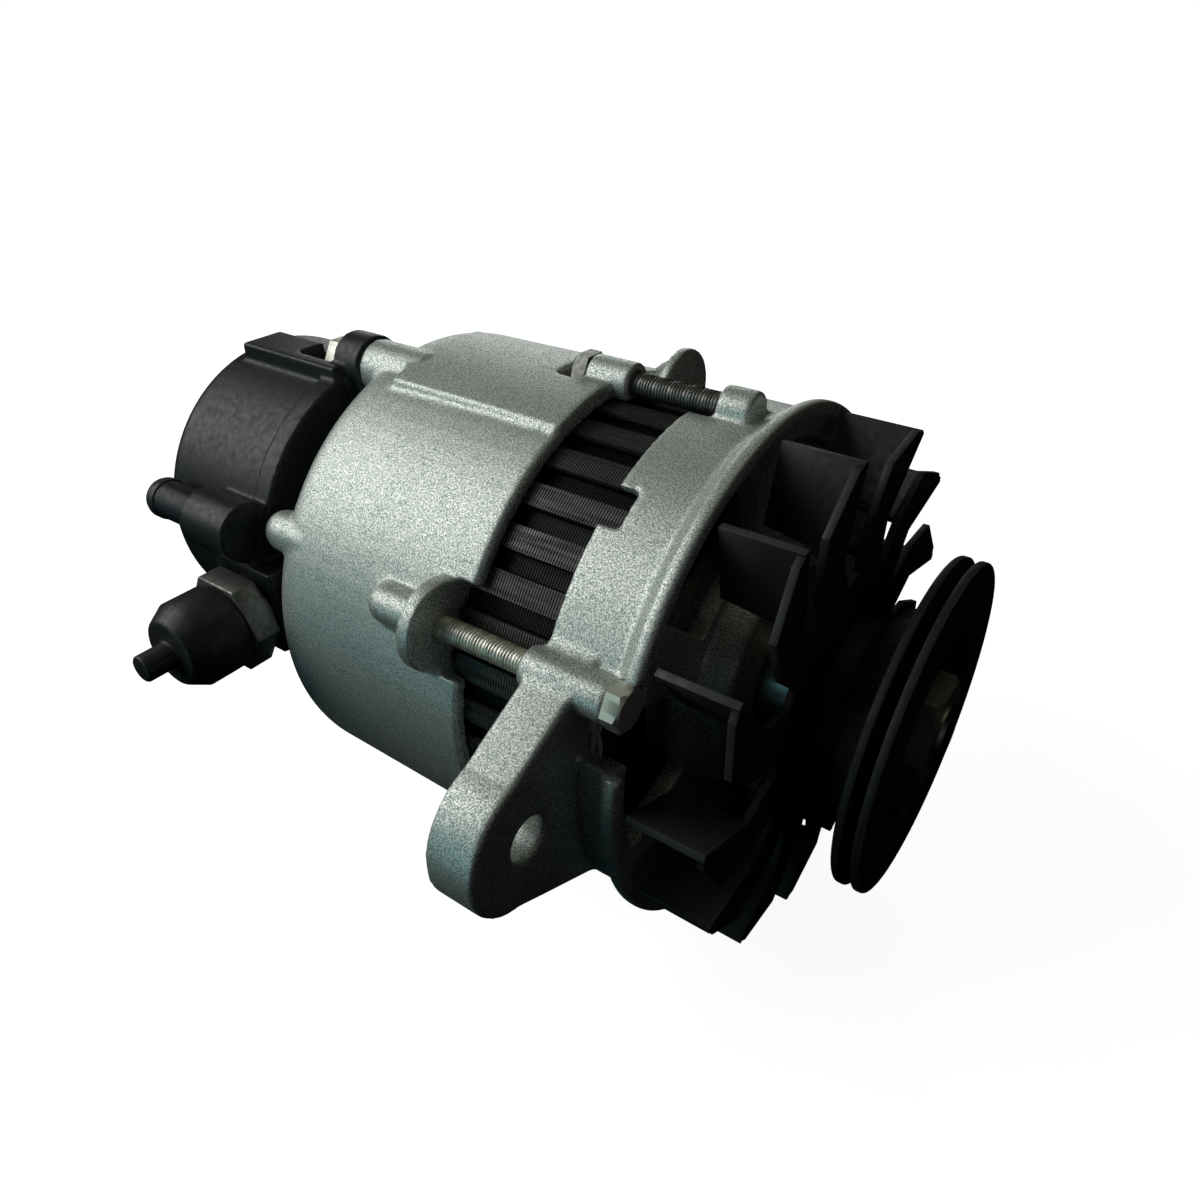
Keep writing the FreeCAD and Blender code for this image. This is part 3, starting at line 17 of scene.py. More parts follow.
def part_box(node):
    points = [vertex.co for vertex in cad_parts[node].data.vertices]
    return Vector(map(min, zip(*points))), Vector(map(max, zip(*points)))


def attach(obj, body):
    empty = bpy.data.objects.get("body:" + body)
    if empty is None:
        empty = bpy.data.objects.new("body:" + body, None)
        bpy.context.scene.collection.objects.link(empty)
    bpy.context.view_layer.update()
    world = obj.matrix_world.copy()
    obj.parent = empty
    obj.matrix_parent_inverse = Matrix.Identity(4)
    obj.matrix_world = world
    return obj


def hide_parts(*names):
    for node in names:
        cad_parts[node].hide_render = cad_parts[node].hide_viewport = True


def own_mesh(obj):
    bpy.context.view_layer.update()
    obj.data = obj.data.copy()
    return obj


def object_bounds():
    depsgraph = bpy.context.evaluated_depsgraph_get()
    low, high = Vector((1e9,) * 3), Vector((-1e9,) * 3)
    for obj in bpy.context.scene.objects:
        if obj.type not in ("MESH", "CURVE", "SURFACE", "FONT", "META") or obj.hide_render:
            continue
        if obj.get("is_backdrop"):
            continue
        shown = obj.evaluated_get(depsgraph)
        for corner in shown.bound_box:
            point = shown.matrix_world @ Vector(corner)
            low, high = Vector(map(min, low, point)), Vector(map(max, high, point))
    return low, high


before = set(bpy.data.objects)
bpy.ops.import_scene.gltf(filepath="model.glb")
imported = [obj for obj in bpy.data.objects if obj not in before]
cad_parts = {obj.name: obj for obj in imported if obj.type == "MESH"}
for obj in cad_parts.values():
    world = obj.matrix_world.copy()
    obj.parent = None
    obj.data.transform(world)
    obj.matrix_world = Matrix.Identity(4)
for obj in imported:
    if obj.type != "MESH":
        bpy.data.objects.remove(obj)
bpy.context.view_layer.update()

MM = 0.001
# Corners nearer than these are joined, in copies of the frame's meshes and in new ones.
WELD = 0.002 * MM
FINE_WELD = 0.001 * MM
log = logging.getLogger("alternator")

Colour = tuple[float, float, float]
Place = tuple[float, float, float]
Profile = Sequence[tuple[float, float]]
Socket = bpy.types.NodeSocket


class Body(Enum):
    """The bodies of the frame that new pieces ride on."""

    HOUSING = "housing"
    ROTOR = "rotor"


class Grain(Enum):
    """How a surface breaks up the light."""

    CAST = "cast"
    PAINTED = "painted"
    TURNED = "turned"
    MOULDED = "moulded"


# Node trees

class NodeMaker:
    """A node tree under construction."""

    def __init__(self, tree: bpy.types.NodeTree) -> None:
        """Takes the tree that the nodes go in."""
        self.tree = tree

    def link(self, source: Socket, target: Socket) -> None:
        """Joins the socket that gives a value to the one that takes it."""
        self.tree.links.new(source, target)

    def add(self, kind: str, sockets: dict | None = None, **settings: object) -> bpy.types.Node:
        """Adds a node.

        Args:
            kind: Kind of node.
            sockets: Values or source sockets, by the name or number of the node's input.
            settings: Properties of the node.

        Returns:
            The node.
        """
        node = self.tree.nodes.new(kind)
        for name, setting in settings.items():
            setattr(node, name, setting)
        for name, source in (sockets or {}).items():
            if isinstance(source, Socket):
                self.link(source, node.inputs[name])
            else:
                node.inputs[name].default_value = source
        return node


class ShaderMaker(NodeMaker):
    """A material's node tree under construction, on Object coordinates."""

    # A noise pattern seldom leaves this range.
    PATTERN_LOW = 0.3
    PATTERN_HIGH = 0.7

    def __init__(self, name: str) -> None:
        """Starts a material of that name with a surface shader."""
        self.material = bpy.data.materials.new(name)
        self.material.use_nodes = True
        super().__init__(self.material.node_tree)
        self.tree.nodes.clear()
        self.surface = self.add("ShaderNodeBsdfPrincipled")
        self.place = self.add("ShaderNodeTexCoord").outputs["Object"]
        self.add("ShaderNodeOutputMaterial", {"Surface": self.surface.outputs["BSDF"]})

    def noise(self, scale: float, detail: float = 3.0, stretch: Place = (1, 1, 1)) -> Socket:
        """Adds a noise pattern.

        Args:
            scale: Cells for each metre.
            detail: Octaves of finer noise.
            stretch: Scale along each axis.

        Returns:
            The pattern's value socket.
        """
        mapping = self.add("ShaderNodeMapping", {"Vector": self.place, "Scale": stretch})
        pattern = self.add("ShaderNodeTexNoise",
                           {"Vector": mapping.outputs["Vector"], "Scale": scale, "Detail": detail})
        return pattern.outputs["Fac"]

    def ramp(self, value: Socket, stops: Sequence[tuple[float, Colour]]) -> Socket:
        """Turns a value into a colour.

        Args:
            value: Socket that drives the ramp.
            stops: Places on the ramp and their colours.

        Returns:
            The ramp's colour socket.
        """
        node = self.add("ShaderNodeValToRGB", {"Fac": value})
        elements = node.color_ramp.elements
        while len(elements) < len(stops):
            elements.new(0.5)
        for element, (place, colour) in zip(elements, stops):
            element.position = place
            element.color = (*colour, 1.0)
        return node.outputs["Color"]

    def map_range(self, value: Socket, start: float, stop: float, low: float, high: float) -> Socket:
        """Maps a value from one range to another.

        Args:
            value: Socket with the value.
            start: Value that gives the low result.
            stop: Value that gives the high result.
            low: The low result.
            high: The high result.

        Returns:
            Socket with the mapped value.
        """
        node = self.add("ShaderNodeMapRange", {"Value": value, "From Min": start, "From Max": stop,
                                               "To Min": low, "To Max": high})
        return node.outputs["Result"]

    def spread(self, pattern: Socket, low: float, high: float) -> Socket:
        """Maps a noise pattern to other limits.

        Args:
            pattern: Socket with the pattern.
            low: Value at the pattern's low end.
            high: Value at its high end.

        Returns:
            Socket with the mapped value.
        """
        return self.map_range(pattern, self.PATTERN_LOW, self.PATTERN_HIGH, low, high)

    def blend(self, share: Socket, first: Socket, second: Socket | Colour) -> Socket:
        """Mixes two colours by a pattern.

        Args:
            share: Socket with the share of the second colour.
            first: Socket with the first colour.
            second: Socket with the second colour, or a plain colour.

        Returns:
            Socket with the mixed colour.
        """
        last = (*second, 1.0) if isinstance(second, tuple) else second
        return self.add("ShaderNodeMix", {"Factor": share, 6: first, 7: last}, data_type="RGBA").outputs[2]

    def distance(self, scale: Place = (1, 1, 1)) -> Socket:
        """Finds how far a place is from the origin.

        Args:
            scale: Scale along each axis, where 0 leaves an axis out.

        Returns:
            Socket with the distance in metres.
        """
        mapping = self.add("ShaderNodeMapping", {"Vector": self.place, "Scale": scale})
        reach = self.add("ShaderNodeVectorMath", {0: mapping.outputs["Vector"]}, operation="LENGTH")
        return reach.outputs["Value"]

    def below(self, radius: float) -> Socket:
        """Gives 1 nearer the shaft's axis than a radius in metres, and 0 elsewhere."""
        test = self.add("ShaderNodeMath", {0: self.distance((0, 1, 1)), 1: radius}, operation="LESS_THAN")
        return test.outputs["Value"]

    def edges(self, start: float, stop: float, strength: float) -> Socket:
        """Finds the mesh's outward edges, where paint and skin wear first.

        Args:
            start: Pointiness where wear begins.
            stop: Pointiness where wear is full.
            strength: Share of wear at its fullest.

        Returns:
            Socket with the share of wear.
        """
        geometry = self.add("ShaderNodeNewGeometry")
        return self.map_range(geometry.outputs["Pointiness"], start, stop, 0.0, strength)

    def relief(self, heights: Iterable[tuple[Socket, float]]) -> None:
        """Adds bumps to the surface.

        Args:
            heights: Patterns and the depth of each in metres.
        """
        normal = {}
        for height, depth in heights:
            node = self.add("ShaderNodeBump", {"Distance": depth, "Height": height, **normal})
            normal = {"Normal": node.outputs["Normal"]}
        self.link(normal["Normal"], self.surface.inputs["Normal"])


class TreeMaker(NodeMaker):
    """A Geometry Nodes tree under construction, with named inputs for its sizes."""

    def __init__(self, name: str) -> None:
        """Starts an empty tree of that name."""
        super().__init__(bpy.data.node_groups.new(name, "GeometryNodeTree"))
        for way in ("INPUT", "OUTPUT"):
            self.tree.interface.new_socket("Geometry", in_out=way, socket_type="NodeSocketGeometry")
        self.entry = self.add("NodeGroupInput")
        self.exit = self.add("NodeGroupOutput")
        self.identifiers: dict[str, str] = {}

    def size(self, name: str, kind: str = "NodeSocketFloat") -> Socket:
        """Adds a named input.

        Args:
            name: Name of the input.
            kind: Kind of socket.

        Returns:
            The input's socket inside the tree.
        """
        item = self.tree.interface.new_socket(name, in_out="INPUT", socket_type=kind)
        self.identifiers[name] = item.identifier
        return self.entry.outputs[name]

    def math(self, operation: str, *sources: object) -> Socket:
        """Adds a sum, product or other operation.

        Args:
            operation: Name of the operation.
            sources: Numbers or sockets.

        Returns:
            Socket with the result.
        """
        return self.add("ShaderNodeMath", dict(enumerate(sources)), operation=operation).outputs[0]

    def wire_along(self, curve: Socket, sides: Socket | int, radius: Socket) -> Socket:
        """Lays a wire along a curve.

        Args:
            curve: Socket with the curve.
            sides: Facets round the wire.
            radius: Radius of the wire.

        Returns:
            Socket with the wire's mesh.
        """
        profile = self.add("GeometryNodeCurvePrimitiveCircle", {"Resolution": sides, "Radius": radius})
        return self.add("GeometryNodeCurveToMesh", {"Curve": curve, "Profile Curve": profile.outputs[0],
                                                    "Fill Caps": True}).outputs[0]

    def close(self, geometry: Socket, material: Socket) -> None:
        """Ends the tree with real geometry and its material.

        Args:
            geometry: Socket with the geometry.
            material: Socket with the material.
        """
        real = self.add("GeometryNodeRealizeInstances", {"Geometry": geometry})
        dressed = self.add("GeometryNodeSetMaterial", {"Geometry": real.outputs[0], "Material": material})
        self.link(dressed.outputs[0], self.exit.inputs["Geometry"])

    def run(self, piece: bpy.types.Object, **sizes: object) -> bpy.types.Object:
        """Runs the tree on a piece and keeps the result as its plain mesh.

        Args:
            piece: Object that the tree starts from.
            sizes: The tree's inputs by name.

        Returns:
            The same object.
        """
        modifier = piece.modifiers.new(self.tree.name, "NODES")
        modifier.node_group = self.tree
        for name, size in sizes.items():
            modifier[self.identifiers[name]] = size
        return settle(piece)


# Finishes

def darker(colour: Colour, share: float) -> Colour:
    """Scales a colour by a share."""
    return tuple(part * share for part in colour)


@dataclass(frozen=True)
class Finish:
    """One finish: its colours, its gloss and how its surface is broken up.

    Attributes:
        name: Start of the material's name.
        dark: Colour of the darker grains.
        light: Colour of the lighter grains.
        slot: Name of the slot that the finish belongs to; it is not used.
        metal: How metallic it is.
        rough: Roughness of its smooth and its dull places.
        grain: How the surface is made.
        relief: Depth of its fine bumps in metres.
        scale: Grains for each metre.
        worn: Colour of worn edges.
        wear: Share of wear on outward edges.
        coat: Strength of a clear coat.
        speckle: Share of hard, separate grains in the colour.
        painted_shade_radius: Radius about the shaft below which the colour turns nearly black, as painted
            shade in the grooves and the joints between sheets.
    """

    name: str
    dark: Colour
    light: Colour
    slot: str
    metal: float = 0.0
    rough: tuple[float, float] = (0.4, 0.6)
    grain: Grain = Grain.MOULDED
    relief: float = 0.00003
    scale: float = 700.0
    worn: Colour = (0.5, 0.5, 0.48)
    wear: float = 0.0
    coat: float = 0.0
    speckle: float = 0.0
    painted_shade_radius: float = 0.0

    def grains(self, half: float) -> list[tuple[float, Colour]]:
        """Gives a ramp's stops from the dark to the light grains.

        Args:
            half: How far the ends lie from the middle of the ramp.

        Returns:
            Places on the ramp and their colours.
        """
        middle = tuple((a + b) / 2 for a, b in zip(self.dark, self.light))
        return [(0.5 - half, self.dark), (0.5, middle), (0.5 + half, self.light)]

    def material(self) -> bpy.types.Material:
        """Builds the material, or returns it where it is built already."""
        title = f"{self.name}_finish"
        known = bpy.data.materials.get(title)
        if known is not None:
            return known
        maker = ShaderMaker(title)
        stretch = (0.08, 1, 1) if self.grain is Grain.TURNED else (1, 1, 1)
        detail = 1.0 if self.speckle else 5.0
        soft_half, hard_half = 0.18, 0.12
        cloud_share, cloud_tone, painted_shade_tone = 0.35, 0.82, 0.12
        wear_start, wear_stop = 0.52, 0.58
        fine = maker.noise(self.scale, detail, stretch)
        broad = maker.noise(self.scale / 22)
        tones = [(maker.PATTERN_LOW, darker(self.light, cloud_tone)), (maker.PATTERN_HIGH, self.light)]
        colour = maker.ramp(fine, self.grains(soft_half))
        colour = maker.blend(maker.spread(broad, 0.0, cloud_share), colour, maker.ramp(broad, tones))
        if self.speckle:
            hard = maker.ramp(fine, self.grains(hard_half))
            colour = maker.blend(maker.spread(broad, self.speckle, self.speckle * 0.9), colour, hard)
        # Painted shade: below the given radius the colour turns nearly black, in the grooves and the joints
        # between sheets.
        if self.painted_shade_radius:
            colour = maker.blend(maker.below(self.painted_shade_radius), colour, darker(self.dark, painted_shade_tone))
        if self.wear:
            colour = maker.blend(maker.edges(wear_start, wear_stop, self.wear), colour, self.worn)
        maker.link(colour, maker.surface.inputs["Base Color"])
        maker.link(maker.spread(fine, self.rough[1], self.rough[0]), maker.surface.inputs["Roughness"])
        maker.surface.inputs["Metallic"].default_value = self.metal
        maker.surface.inputs["Coat Weight"].default_value = self.coat
        bumps = [(fine, self.relief)]
        if self.grain is Grain.CAST:
            bumps.append((maker.noise(self.scale * 2.6, 2.0), self.relief * 0.6))
            bumps.append((maker.noise(self.scale / 9, 2.0), self.relief * 2.5))
        if self.grain is Grain.PAINTED:
            bumps.append((maker.noise(self.scale / 4, 1.0), self.relief * 1.6))
        maker.relief(bumps)
        return maker.material


CAST_ALUMINIUM = Finish(
    "cast_aluminium", dark=(0.28, 0.38, 0.38), light=(0.95, 0.93, 0.86), slot="cast_aluminium", metal=0.75,
    rough=(0.44, 0.62), grain=Grain.CAST, relief=0.00002, scale=3100.0, worn=(0.9, 0.92, 0.86), wear=0.25,
    speckle=0.85)
# The sheets turn nearly black below 59.5 mm, as painted shade in the outer grooves and the joints between
# sheets.
LAMINATIONS = Finish(
    "lamination_steel", dark=(0.05, 0.045, 0.045), light=(0.13, 0.125, 0.12), slot="lamination_steel",
    metal=0.6, rough=(0.4, 0.6), grain=Grain.TURNED, relief=0.00001, scale=900.0, painted_shade_radius=0.0595)
COPPER_WIRE = Finish(
    "winding_copper", dark=(0.32, 0.10, 0.04), light=(0.62, 0.25, 0.10), slot="winding_copper", metal=0.85,
    rough=(0.25, 0.45), relief=0.00002, scale=900.0, coat=0.4)
BEARING_STEEL = Finish(
    "bearing_steel", dark=(0.50, 0.50, 0.50), light=(0.66, 0.66, 0.65), slot="bearing_steel", metal=1.0,
    rough=(0.15, 0.3), grain=Grain.TURNED, relief=0.000005, scale=1400.0)
SHAFT_STEEL = Finish(
    "shaft_steel", dark=(0.30, 0.30, 0.29), light=(0.50, 0.50, 0.48), slot="shaft_steel", metal=1.0,
    rough=(0.25, 0.42), grain=Grain.TURNED, relief=0.00001, scale=1400.0)
ZINC_STEEL = Finish(
    "zinc_steel", dark=(0.72, 0.70, 0.60), light=(0.95, 0.94, 0.84), slot="zinc_steel", metal=0.7,
    rough=(0.34, 0.5), grain=Grain.TURNED, relief=0.00001, scale=1200.0)
NUT_STEEL = Finish(
    "nut_steel", dark=(0.13, 0.13, 0.12), light=(0.24, 0.24, 0.22), slot="shaft_steel", metal=0.3,
    rough=(0.35, 0.5), grain=Grain.CAST, relief=0.00002, scale=900.0, worn=(0.4, 0.4, 0.38), wear=0.5)
DULL_STEEL = Finish(
    "dull_steel", dark=(0.14, 0.14, 0.13), light=(0.30, 0.30, 0.28), slot="zinc_steel", metal=0.8,
    rough=(0.35, 0.55), grain=Grain.CAST, relief=0.00003, scale=900.0)
POLE_STEEL = Finish(
    "pole_steel", dark=(0.10, 0.09, 0.085), light=(0.22, 0.20, 0.19), slot="pole_steel", metal=0.9,
    rough=(0.35, 0.55), grain=Grain.CAST, relief=0.00003, scale=900.0)
FAN_PAINT = Finish(
    "black_paint", dark=(0.010, 0.006, 0.010), light=(0.022, 0.016, 0.021), slot="black_paint",
    rough=(0.5, 0.7), grain=Grain.PAINTED, relief=0.00001, scale=500.0, worn=(0.14, 0.14, 0.14), wear=0.3)
PUMP_PAINT = Finish(
    "pump_paint", dark=(0.007, 0.008, 0.009), light=(0.018, 0.022, 0.024), slot="pump_paint",
    rough=(0.36, 0.55), grain=Grain.CAST, relief=0.00001, scale=620.0, worn=(0.13, 0.16, 0.17), wear=0.25)
HEAT_SINK = Finish(
    "heat_sink", dark=(0.45, 0.46, 0.45), light=(0.62, 0.63, 0.61), slot="heat_sink", metal=0.9,
    rough=(0.3, 0.5), grain=Grain.TURNED, relief=0.00001, scale=900.0)
MOULDED_PLASTIC = Finish(
    "moulded_plastic", dark=(0.012, 0.012, 0.013), light=(0.03, 0.03, 0.032), slot="moulded_plastic")
INSULATION = Finish(
    "insulation", dark=(0.30, 0.17, 0.07), light=(0.45, 0.27, 0.12), slot="insulation")
RING_COPPER = Finish(
    "ring_copper", dark=(0.55, 0.28, 0.12), light=(0.75, 0.42, 0.22), slot="ring_copper", metal=1.0,
    rough=(0.18, 0.35), grain=Grain.TURNED, relief=0.00001, scale=1600.0)
BRUSH_CARBON = Finish(
    "brush_carbon", dark=(0.02, 0.018, 0.017), light=(0.06, 0.05, 0.045), slot="brush_carbon", metal=0.3)
SPRING_STEEL = Finish(
    "spring_steel", dark=(0.35, 0.35, 0.36), light=(0.55, 0.55, 0.56), slot="spring_steel", metal=1.0,
    rough=(0.2, 0.35))
SEAL_RUBBER = Finish(
    "seal_rubber", dark=(0.012, 0.012, 0.012), light=(0.03, 0.03, 0.03), slot="seal_rubber",
    rough=(0.6, 0.8))
GASKET_PAPER = Finish(
    "gasket_paper", dark=(0.10, 0.075, 0.05), light=(0.19, 0.15, 0.10), slot="gasket_paper",
    rough=(0.8, 0.95))
CAP_PLASTIC = Finish(
    "cap_plastic", dark=(0.010, 0.009, 0.010), light=(0.028, 0.026, 0.028), slot="cap_plastic",
    rough=(0.35, 0.55), scale=800.0)


# Mesh building blocks

def node_of(name: str) -> bpy.types.Object:
    """The frame's object of that name."""
    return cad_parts[name]


def node_mesh(name: str) -> bmesh.types.BMesh:
    """Copies a node's mesh with its corners joined."""
    work = bmesh.new()
    work.from_mesh(node_of(name).data)
    bmesh.ops.remove_doubles(work, verts=work.verts, dist=WELD)
    return work


def solid_boxes(name: str) -> list[tuple[Vector, Vector]]:
    """Finds the separate solids of a node.

    Args:
        name: Name of the node.

    Returns:
        Lowest and highest corner of each solid, from the first along -Y round the shaft.
    """
    work = node_mesh(name)
    left = set(work.verts)
    boxes = []
    while left:
        grown = [left.pop()]
        for vertex in grown:
            for edge in vertex.link_edges:
                other = edge.other_vert(vertex)
                if other in left:
                    left.discard(other)
                    grown.append(other)
        places = [vertex.co for vertex in grown]
        low = Vector([min(place[axis] for place in places) for axis in range(3)])
        high = Vector([max(place[axis] for place in places) for axis in range(3)])
        boxes.append((low, high))
    work.free()
    return sorted(boxes, key=lambda box: math.atan2(box[0].z + box[1].z, box[0].y + box[1].y))


def placed(name: str, data: bpy.types.ID) -> bpy.types.Object:
    """Makes an object of a mesh, light or camera and links it to the scene."""
    thing = bpy.data.objects.new(name, data)
    bpy.context.scene.collection.objects.link(thing)
    return thing


def empty_piece(name: str) -> bpy.types.Object:
    """Makes an object with no faces yet."""
    return placed(name, bpy.data.meshes.new(name))


def shade(mesh: bpy.types.Mesh, sharp: float) -> None:
    """Shades a mesh smooth, with edges above an angle in degrees kept sharp."""
    mesh.shade_smooth()
    mesh.set_sharp_from_angle(angle=math.radians(sharp))


def new_piece(name: str, work: bmesh.types.BMesh, finish: Finish, sharp: float = 35.0) -> bpy.types.Object:
    """Turns a mesh under construction into an object.

    Args:
        name: Name of the piece.
        work: The mesh, which is freed.
        finish: The piece's finish.
        sharp: Angle in degrees above which an edge stays sharp.

    Returns:
        The new object, linked to the scene.
    """
    mesh = bpy.data.meshes.new(name)
    work.to_mesh(mesh)
    work.free()
    mesh.materials.append(finish.material())
    shade(mesh, sharp)
    return placed(name, mesh)


def settle(piece: bpy.types.Object) -> bpy.types.Object:
    """Replaces a piece's mesh by what its modifiers make of it, and removes them.

    Args:
        piece: The object.

    Returns:
        The same object.
    """
    bpy.context.view_layer.update()
    graph = bpy.context.evaluated_depsgraph_get()
    mesh = bpy.data.meshes.new_from_object(piece.evaluated_get(graph), depsgraph=graph)
    mesh.name = piece.name
    piece.modifiers.clear()
    piece.data = mesh
    return piece


def eased(node: str, finish: Finish, width: float, segments: int = 2) -> bpy.types.Object:
    """Makes a copy of a node with its sharp edges broken.

    Args:
        node: Name of the node, which the copy stands for.
        finish: The copy's finish.
        width: Width of the broken edges.
        segments: Facets across each edge.

    Returns:
        The copy.
    """
    flat_angle, edge_angle, sharp_angle = 0.6, 32.0, 38.0
    work = node_mesh(node)
    bmesh.ops.dissolve_limit(work, angle_limit=math.radians(flat_angle), verts=work.verts, edges=work.edges)
    piece = new_piece(f"{node}_eased", work, finish)
    bevel = piece.modifiers.new("edges", "BEVEL")
    bevel.width = width
    bevel.segments = segments
    bevel.limit_method = "ANGLE"
    bevel.angle_limit = math.radians(edge_angle)
    settle(piece)
    shade(piece.data, sharp_angle)
    return piece


def cast_copy(node: str, finish: Finish, voxel: float, passes: int, share: float) -> bpy.types.Object:
    """Makes a copy of a node whose corners are rounded as a casting's are.

    Args:
        node: Name of the node, which the copy stands for.
        finish: The copy's finish.
        voxel: Grid that the shape is rebuilt on.
        passes: Rounds of smoothing.
        share: Share of the triangles that is kept.

    Returns:
        The copy.
    """
    piece = new_piece(f"{node}_cast", node_mesh(node), finish)
    rebuild = piece.modifiers.new("rebuild", "REMESH")
    rebuild.mode = "VOXEL"
    rebuild.voxel_size = voxel
    rebuild.use_smooth_shade = True
    smooth = piece.modifiers.new("smooth", "SMOOTH")
    smooth.factor = 0.5
    smooth.iterations = passes
    thin = piece.modifiers.new("thin", "DECIMATE")
    thin.ratio = share
    settle(piece)
    piece.data.shade_smooth()
    return piece


def ring_of(work: bmesh.types.BMesh, places: Iterable[tuple[float, float, float]],
            centre: tuple[float, float] = (0.0, 0.0)) -> list[bmesh.types.BMVert]:
    """Adds the corners of a ring about a line along X.

    Args:
        work: Mesh that takes the corners.
        places: The corners' x, radius and angle in radians.
        centre: Y and Z of the line.

    Returns:
        The corners.
    """
    return [work.verts.new((x, centre[0] + radius * math.cos(turn), centre[1] + radius * math.sin(turn)))
            for x, radius, turn in places]


def lathe(work: bmesh.types.BMesh, profile: Profile, centre: tuple[float, float] = (0.0, 0.0),
          segments: int = 48) -> None:
    """Adds a shape turned about a line along X.

    Args:
        work: Mesh that takes the shape.
        profile: Points (x, radius), each end at radius 0 or the profile closed.
        centre: Y and Z of the line.
        segments: Facets round the line.
    """
    turns = [math.tau * step / segments for step in range(segments)]
    rings = [ring_of(work, ((x, radius, turn) for turn in (turns if radius > 0 else [0.0])), centre)
             for x, radius in profile]
    for first, second in zip(rings, rings[1:]):
        for step in range(segments):
            after = (step + 1) % segments
            corners = [first[step % len(first)], first[after % len(first)],
                       second[after % len(second)], second[step % len(second)]]
            corners = list(dict.fromkeys(corners))
            if len(corners) > 2:
                work.faces.new(corners)


def hexagon_head(work: bmesh.types.BMesh, flats: float, inner: float, outer: float,
                 centre: tuple[float, float]) -> None:
    """Adds a hexagonal head along X with the corners of its outer face turned down.

    Args:
        work: Mesh that takes the head.
        flats: Size across flats.
        inner: The end along X that sits on the casting.
        outer: The end along X that is turned down.
        centre: Y and Z of its axis.
    """
    facets = 36
    half = flats / 2
    corner = flats / math.sqrt(3)
    rim = flats * 0.475
    depth = (corner - half) * 0.6
    inward = math.copysign(1.0, inner - outer)
    rings = []
    for x, limit, fall in ((inner, corner, 0.0), (outer + inward * depth, corner, depth), (outer, rim, 0.0)):
        places = []
        for step in range(facets):
            turn = math.tau * step / facets
            sixth = (turn % (math.pi / 3)) - math.pi / 6
            radius = min(half / math.cos(sixth), limit)
            drop = fall * (radius - half) / (corner - half)
            places.append((x + inward * drop, radius, turn))
        rings.append(ring_of(work, places, centre))
    for first, second in zip(rings, rings[1:]):
        for step in range(facets):
            after = (step + 1) % facets
            work.faces.new([first[step], first[after], second[after], second[step]])
    work.faces.new(rings[0][::-1])
    work.faces.new(rings[-1])


# The trees for what repeats

def stack_tree() -> TreeMaker:
    """Makes the tree that stacks one sheet many times along the shaft."""
    maker = TreeMaker("sheet_stack")
    count = maker.size("count", "NodeSocketInt")
    pitch = maker.size("pitch")
    material = maker.size("material", "NodeSocketMaterial")
    step = maker.add("ShaderNodeCombineXYZ", {"X": pitch})
    line = maker.add("GeometryNodeMeshLine", {"Count": count, "Offset": step.outputs[0]})
    sheets = maker.add("GeometryNodeInstanceOnPoints",
                       {"Points": line.outputs[0], "Instance": maker.entry.outputs["Geometry"]})
    maker.close(sheets.outputs[0], material)
    return maker


def helix_tree() -> TreeMaker:
    """Makes the tree for a thread's ridge or a coil spring, along X."""
    maker = TreeMaker("helix")
    radius = maker.size("radius")
    turns = maker.size("turns")
    length = maker.size("length")
    wire = maker.size("wire")
    sides = maker.size("sides", "NodeSocketInt")
    material = maker.size("material", "NodeSocketMaterial")
    spiral = maker.add("GeometryNodeCurveSpiral", {"Resolution": 28, "Rotations": turns, "Height": length,
                                                   "Start Radius": radius, "End Radius": radius})
    ridge = maker.wire_along(spiral.outputs[0], sides, wire)
    laid = maker.add("GeometryNodeTransform", {"Geometry": ridge, "Rotation": (0.0, math.pi / 2, 0.0)})
    maker.close(laid.outputs[0], material)
    return maker


def end_turn_tree() -> TreeMaker:
    """Makes the tree for the loops of wire that join slot to slot beyond the stator's face."""
    maker = TreeMaker("end_turns")
    count = maker.size("count", "NodeSocketInt")
    inner = maker.size("inner")
    outer = maker.size("outer")
    face = maker.size("face")
    height = maker.size("height")
    wire = maker.size("wire")
    span = maker.size("span")
    material = maker.size("material", "NodeSocketMaterial")
    points = 14
    crown = 0.65
    line = maker.add("GeometryNodeMeshLine", {"Count": points})
    index = maker.add("GeometryNodeInputIndex").outputs[0]
    share = maker.math("DIVIDE", index, points - 1.0)
    radius = maker.math("ADD", inner, maker.math("MULTIPLY", share, maker.math("SUBTRACT", outer, inner)))
    turn = maker.math("MULTIPLY", share, span)
    rise = maker.math("POWER", maker.math("SINE", maker.math("MULTIPLY", share, math.pi)), crown)
    along = maker.math("ADD", face, maker.math("MULTIPLY", rise, height))
    across = maker.math("MULTIPLY", radius, maker.math("COSINE", turn))
    up = maker.math("MULTIPLY", radius, maker.math("SINE", turn))
    place = maker.add("ShaderNodeCombineXYZ", {"X": along, "Y": across, "Z": up})
    moved = maker.add("GeometryNodeSetPosition", {"Geometry": line.outputs[0], "Position": place.outputs[0]})
    curve = maker.add("GeometryNodeMeshToCurve", {"Mesh": moved.outputs[0]})
    loop = maker.wire_along(curve.outputs[0], 6, wire)
    spots = maker.add("GeometryNodePoints", {"Count": count})
    turned = maker.math("MULTIPLY", index, maker.math("DIVIDE", math.tau, count))
    angle = maker.add("ShaderNodeCombineXYZ", {"X": turned})
    loops = maker.add("GeometryNodeInstanceOnPoints",
                      {"Points": spots.outputs[0], "Instance": loop, "Rotation": angle.outputs[0]})
    maker.close(loops.outputs[0], material)
    return maker


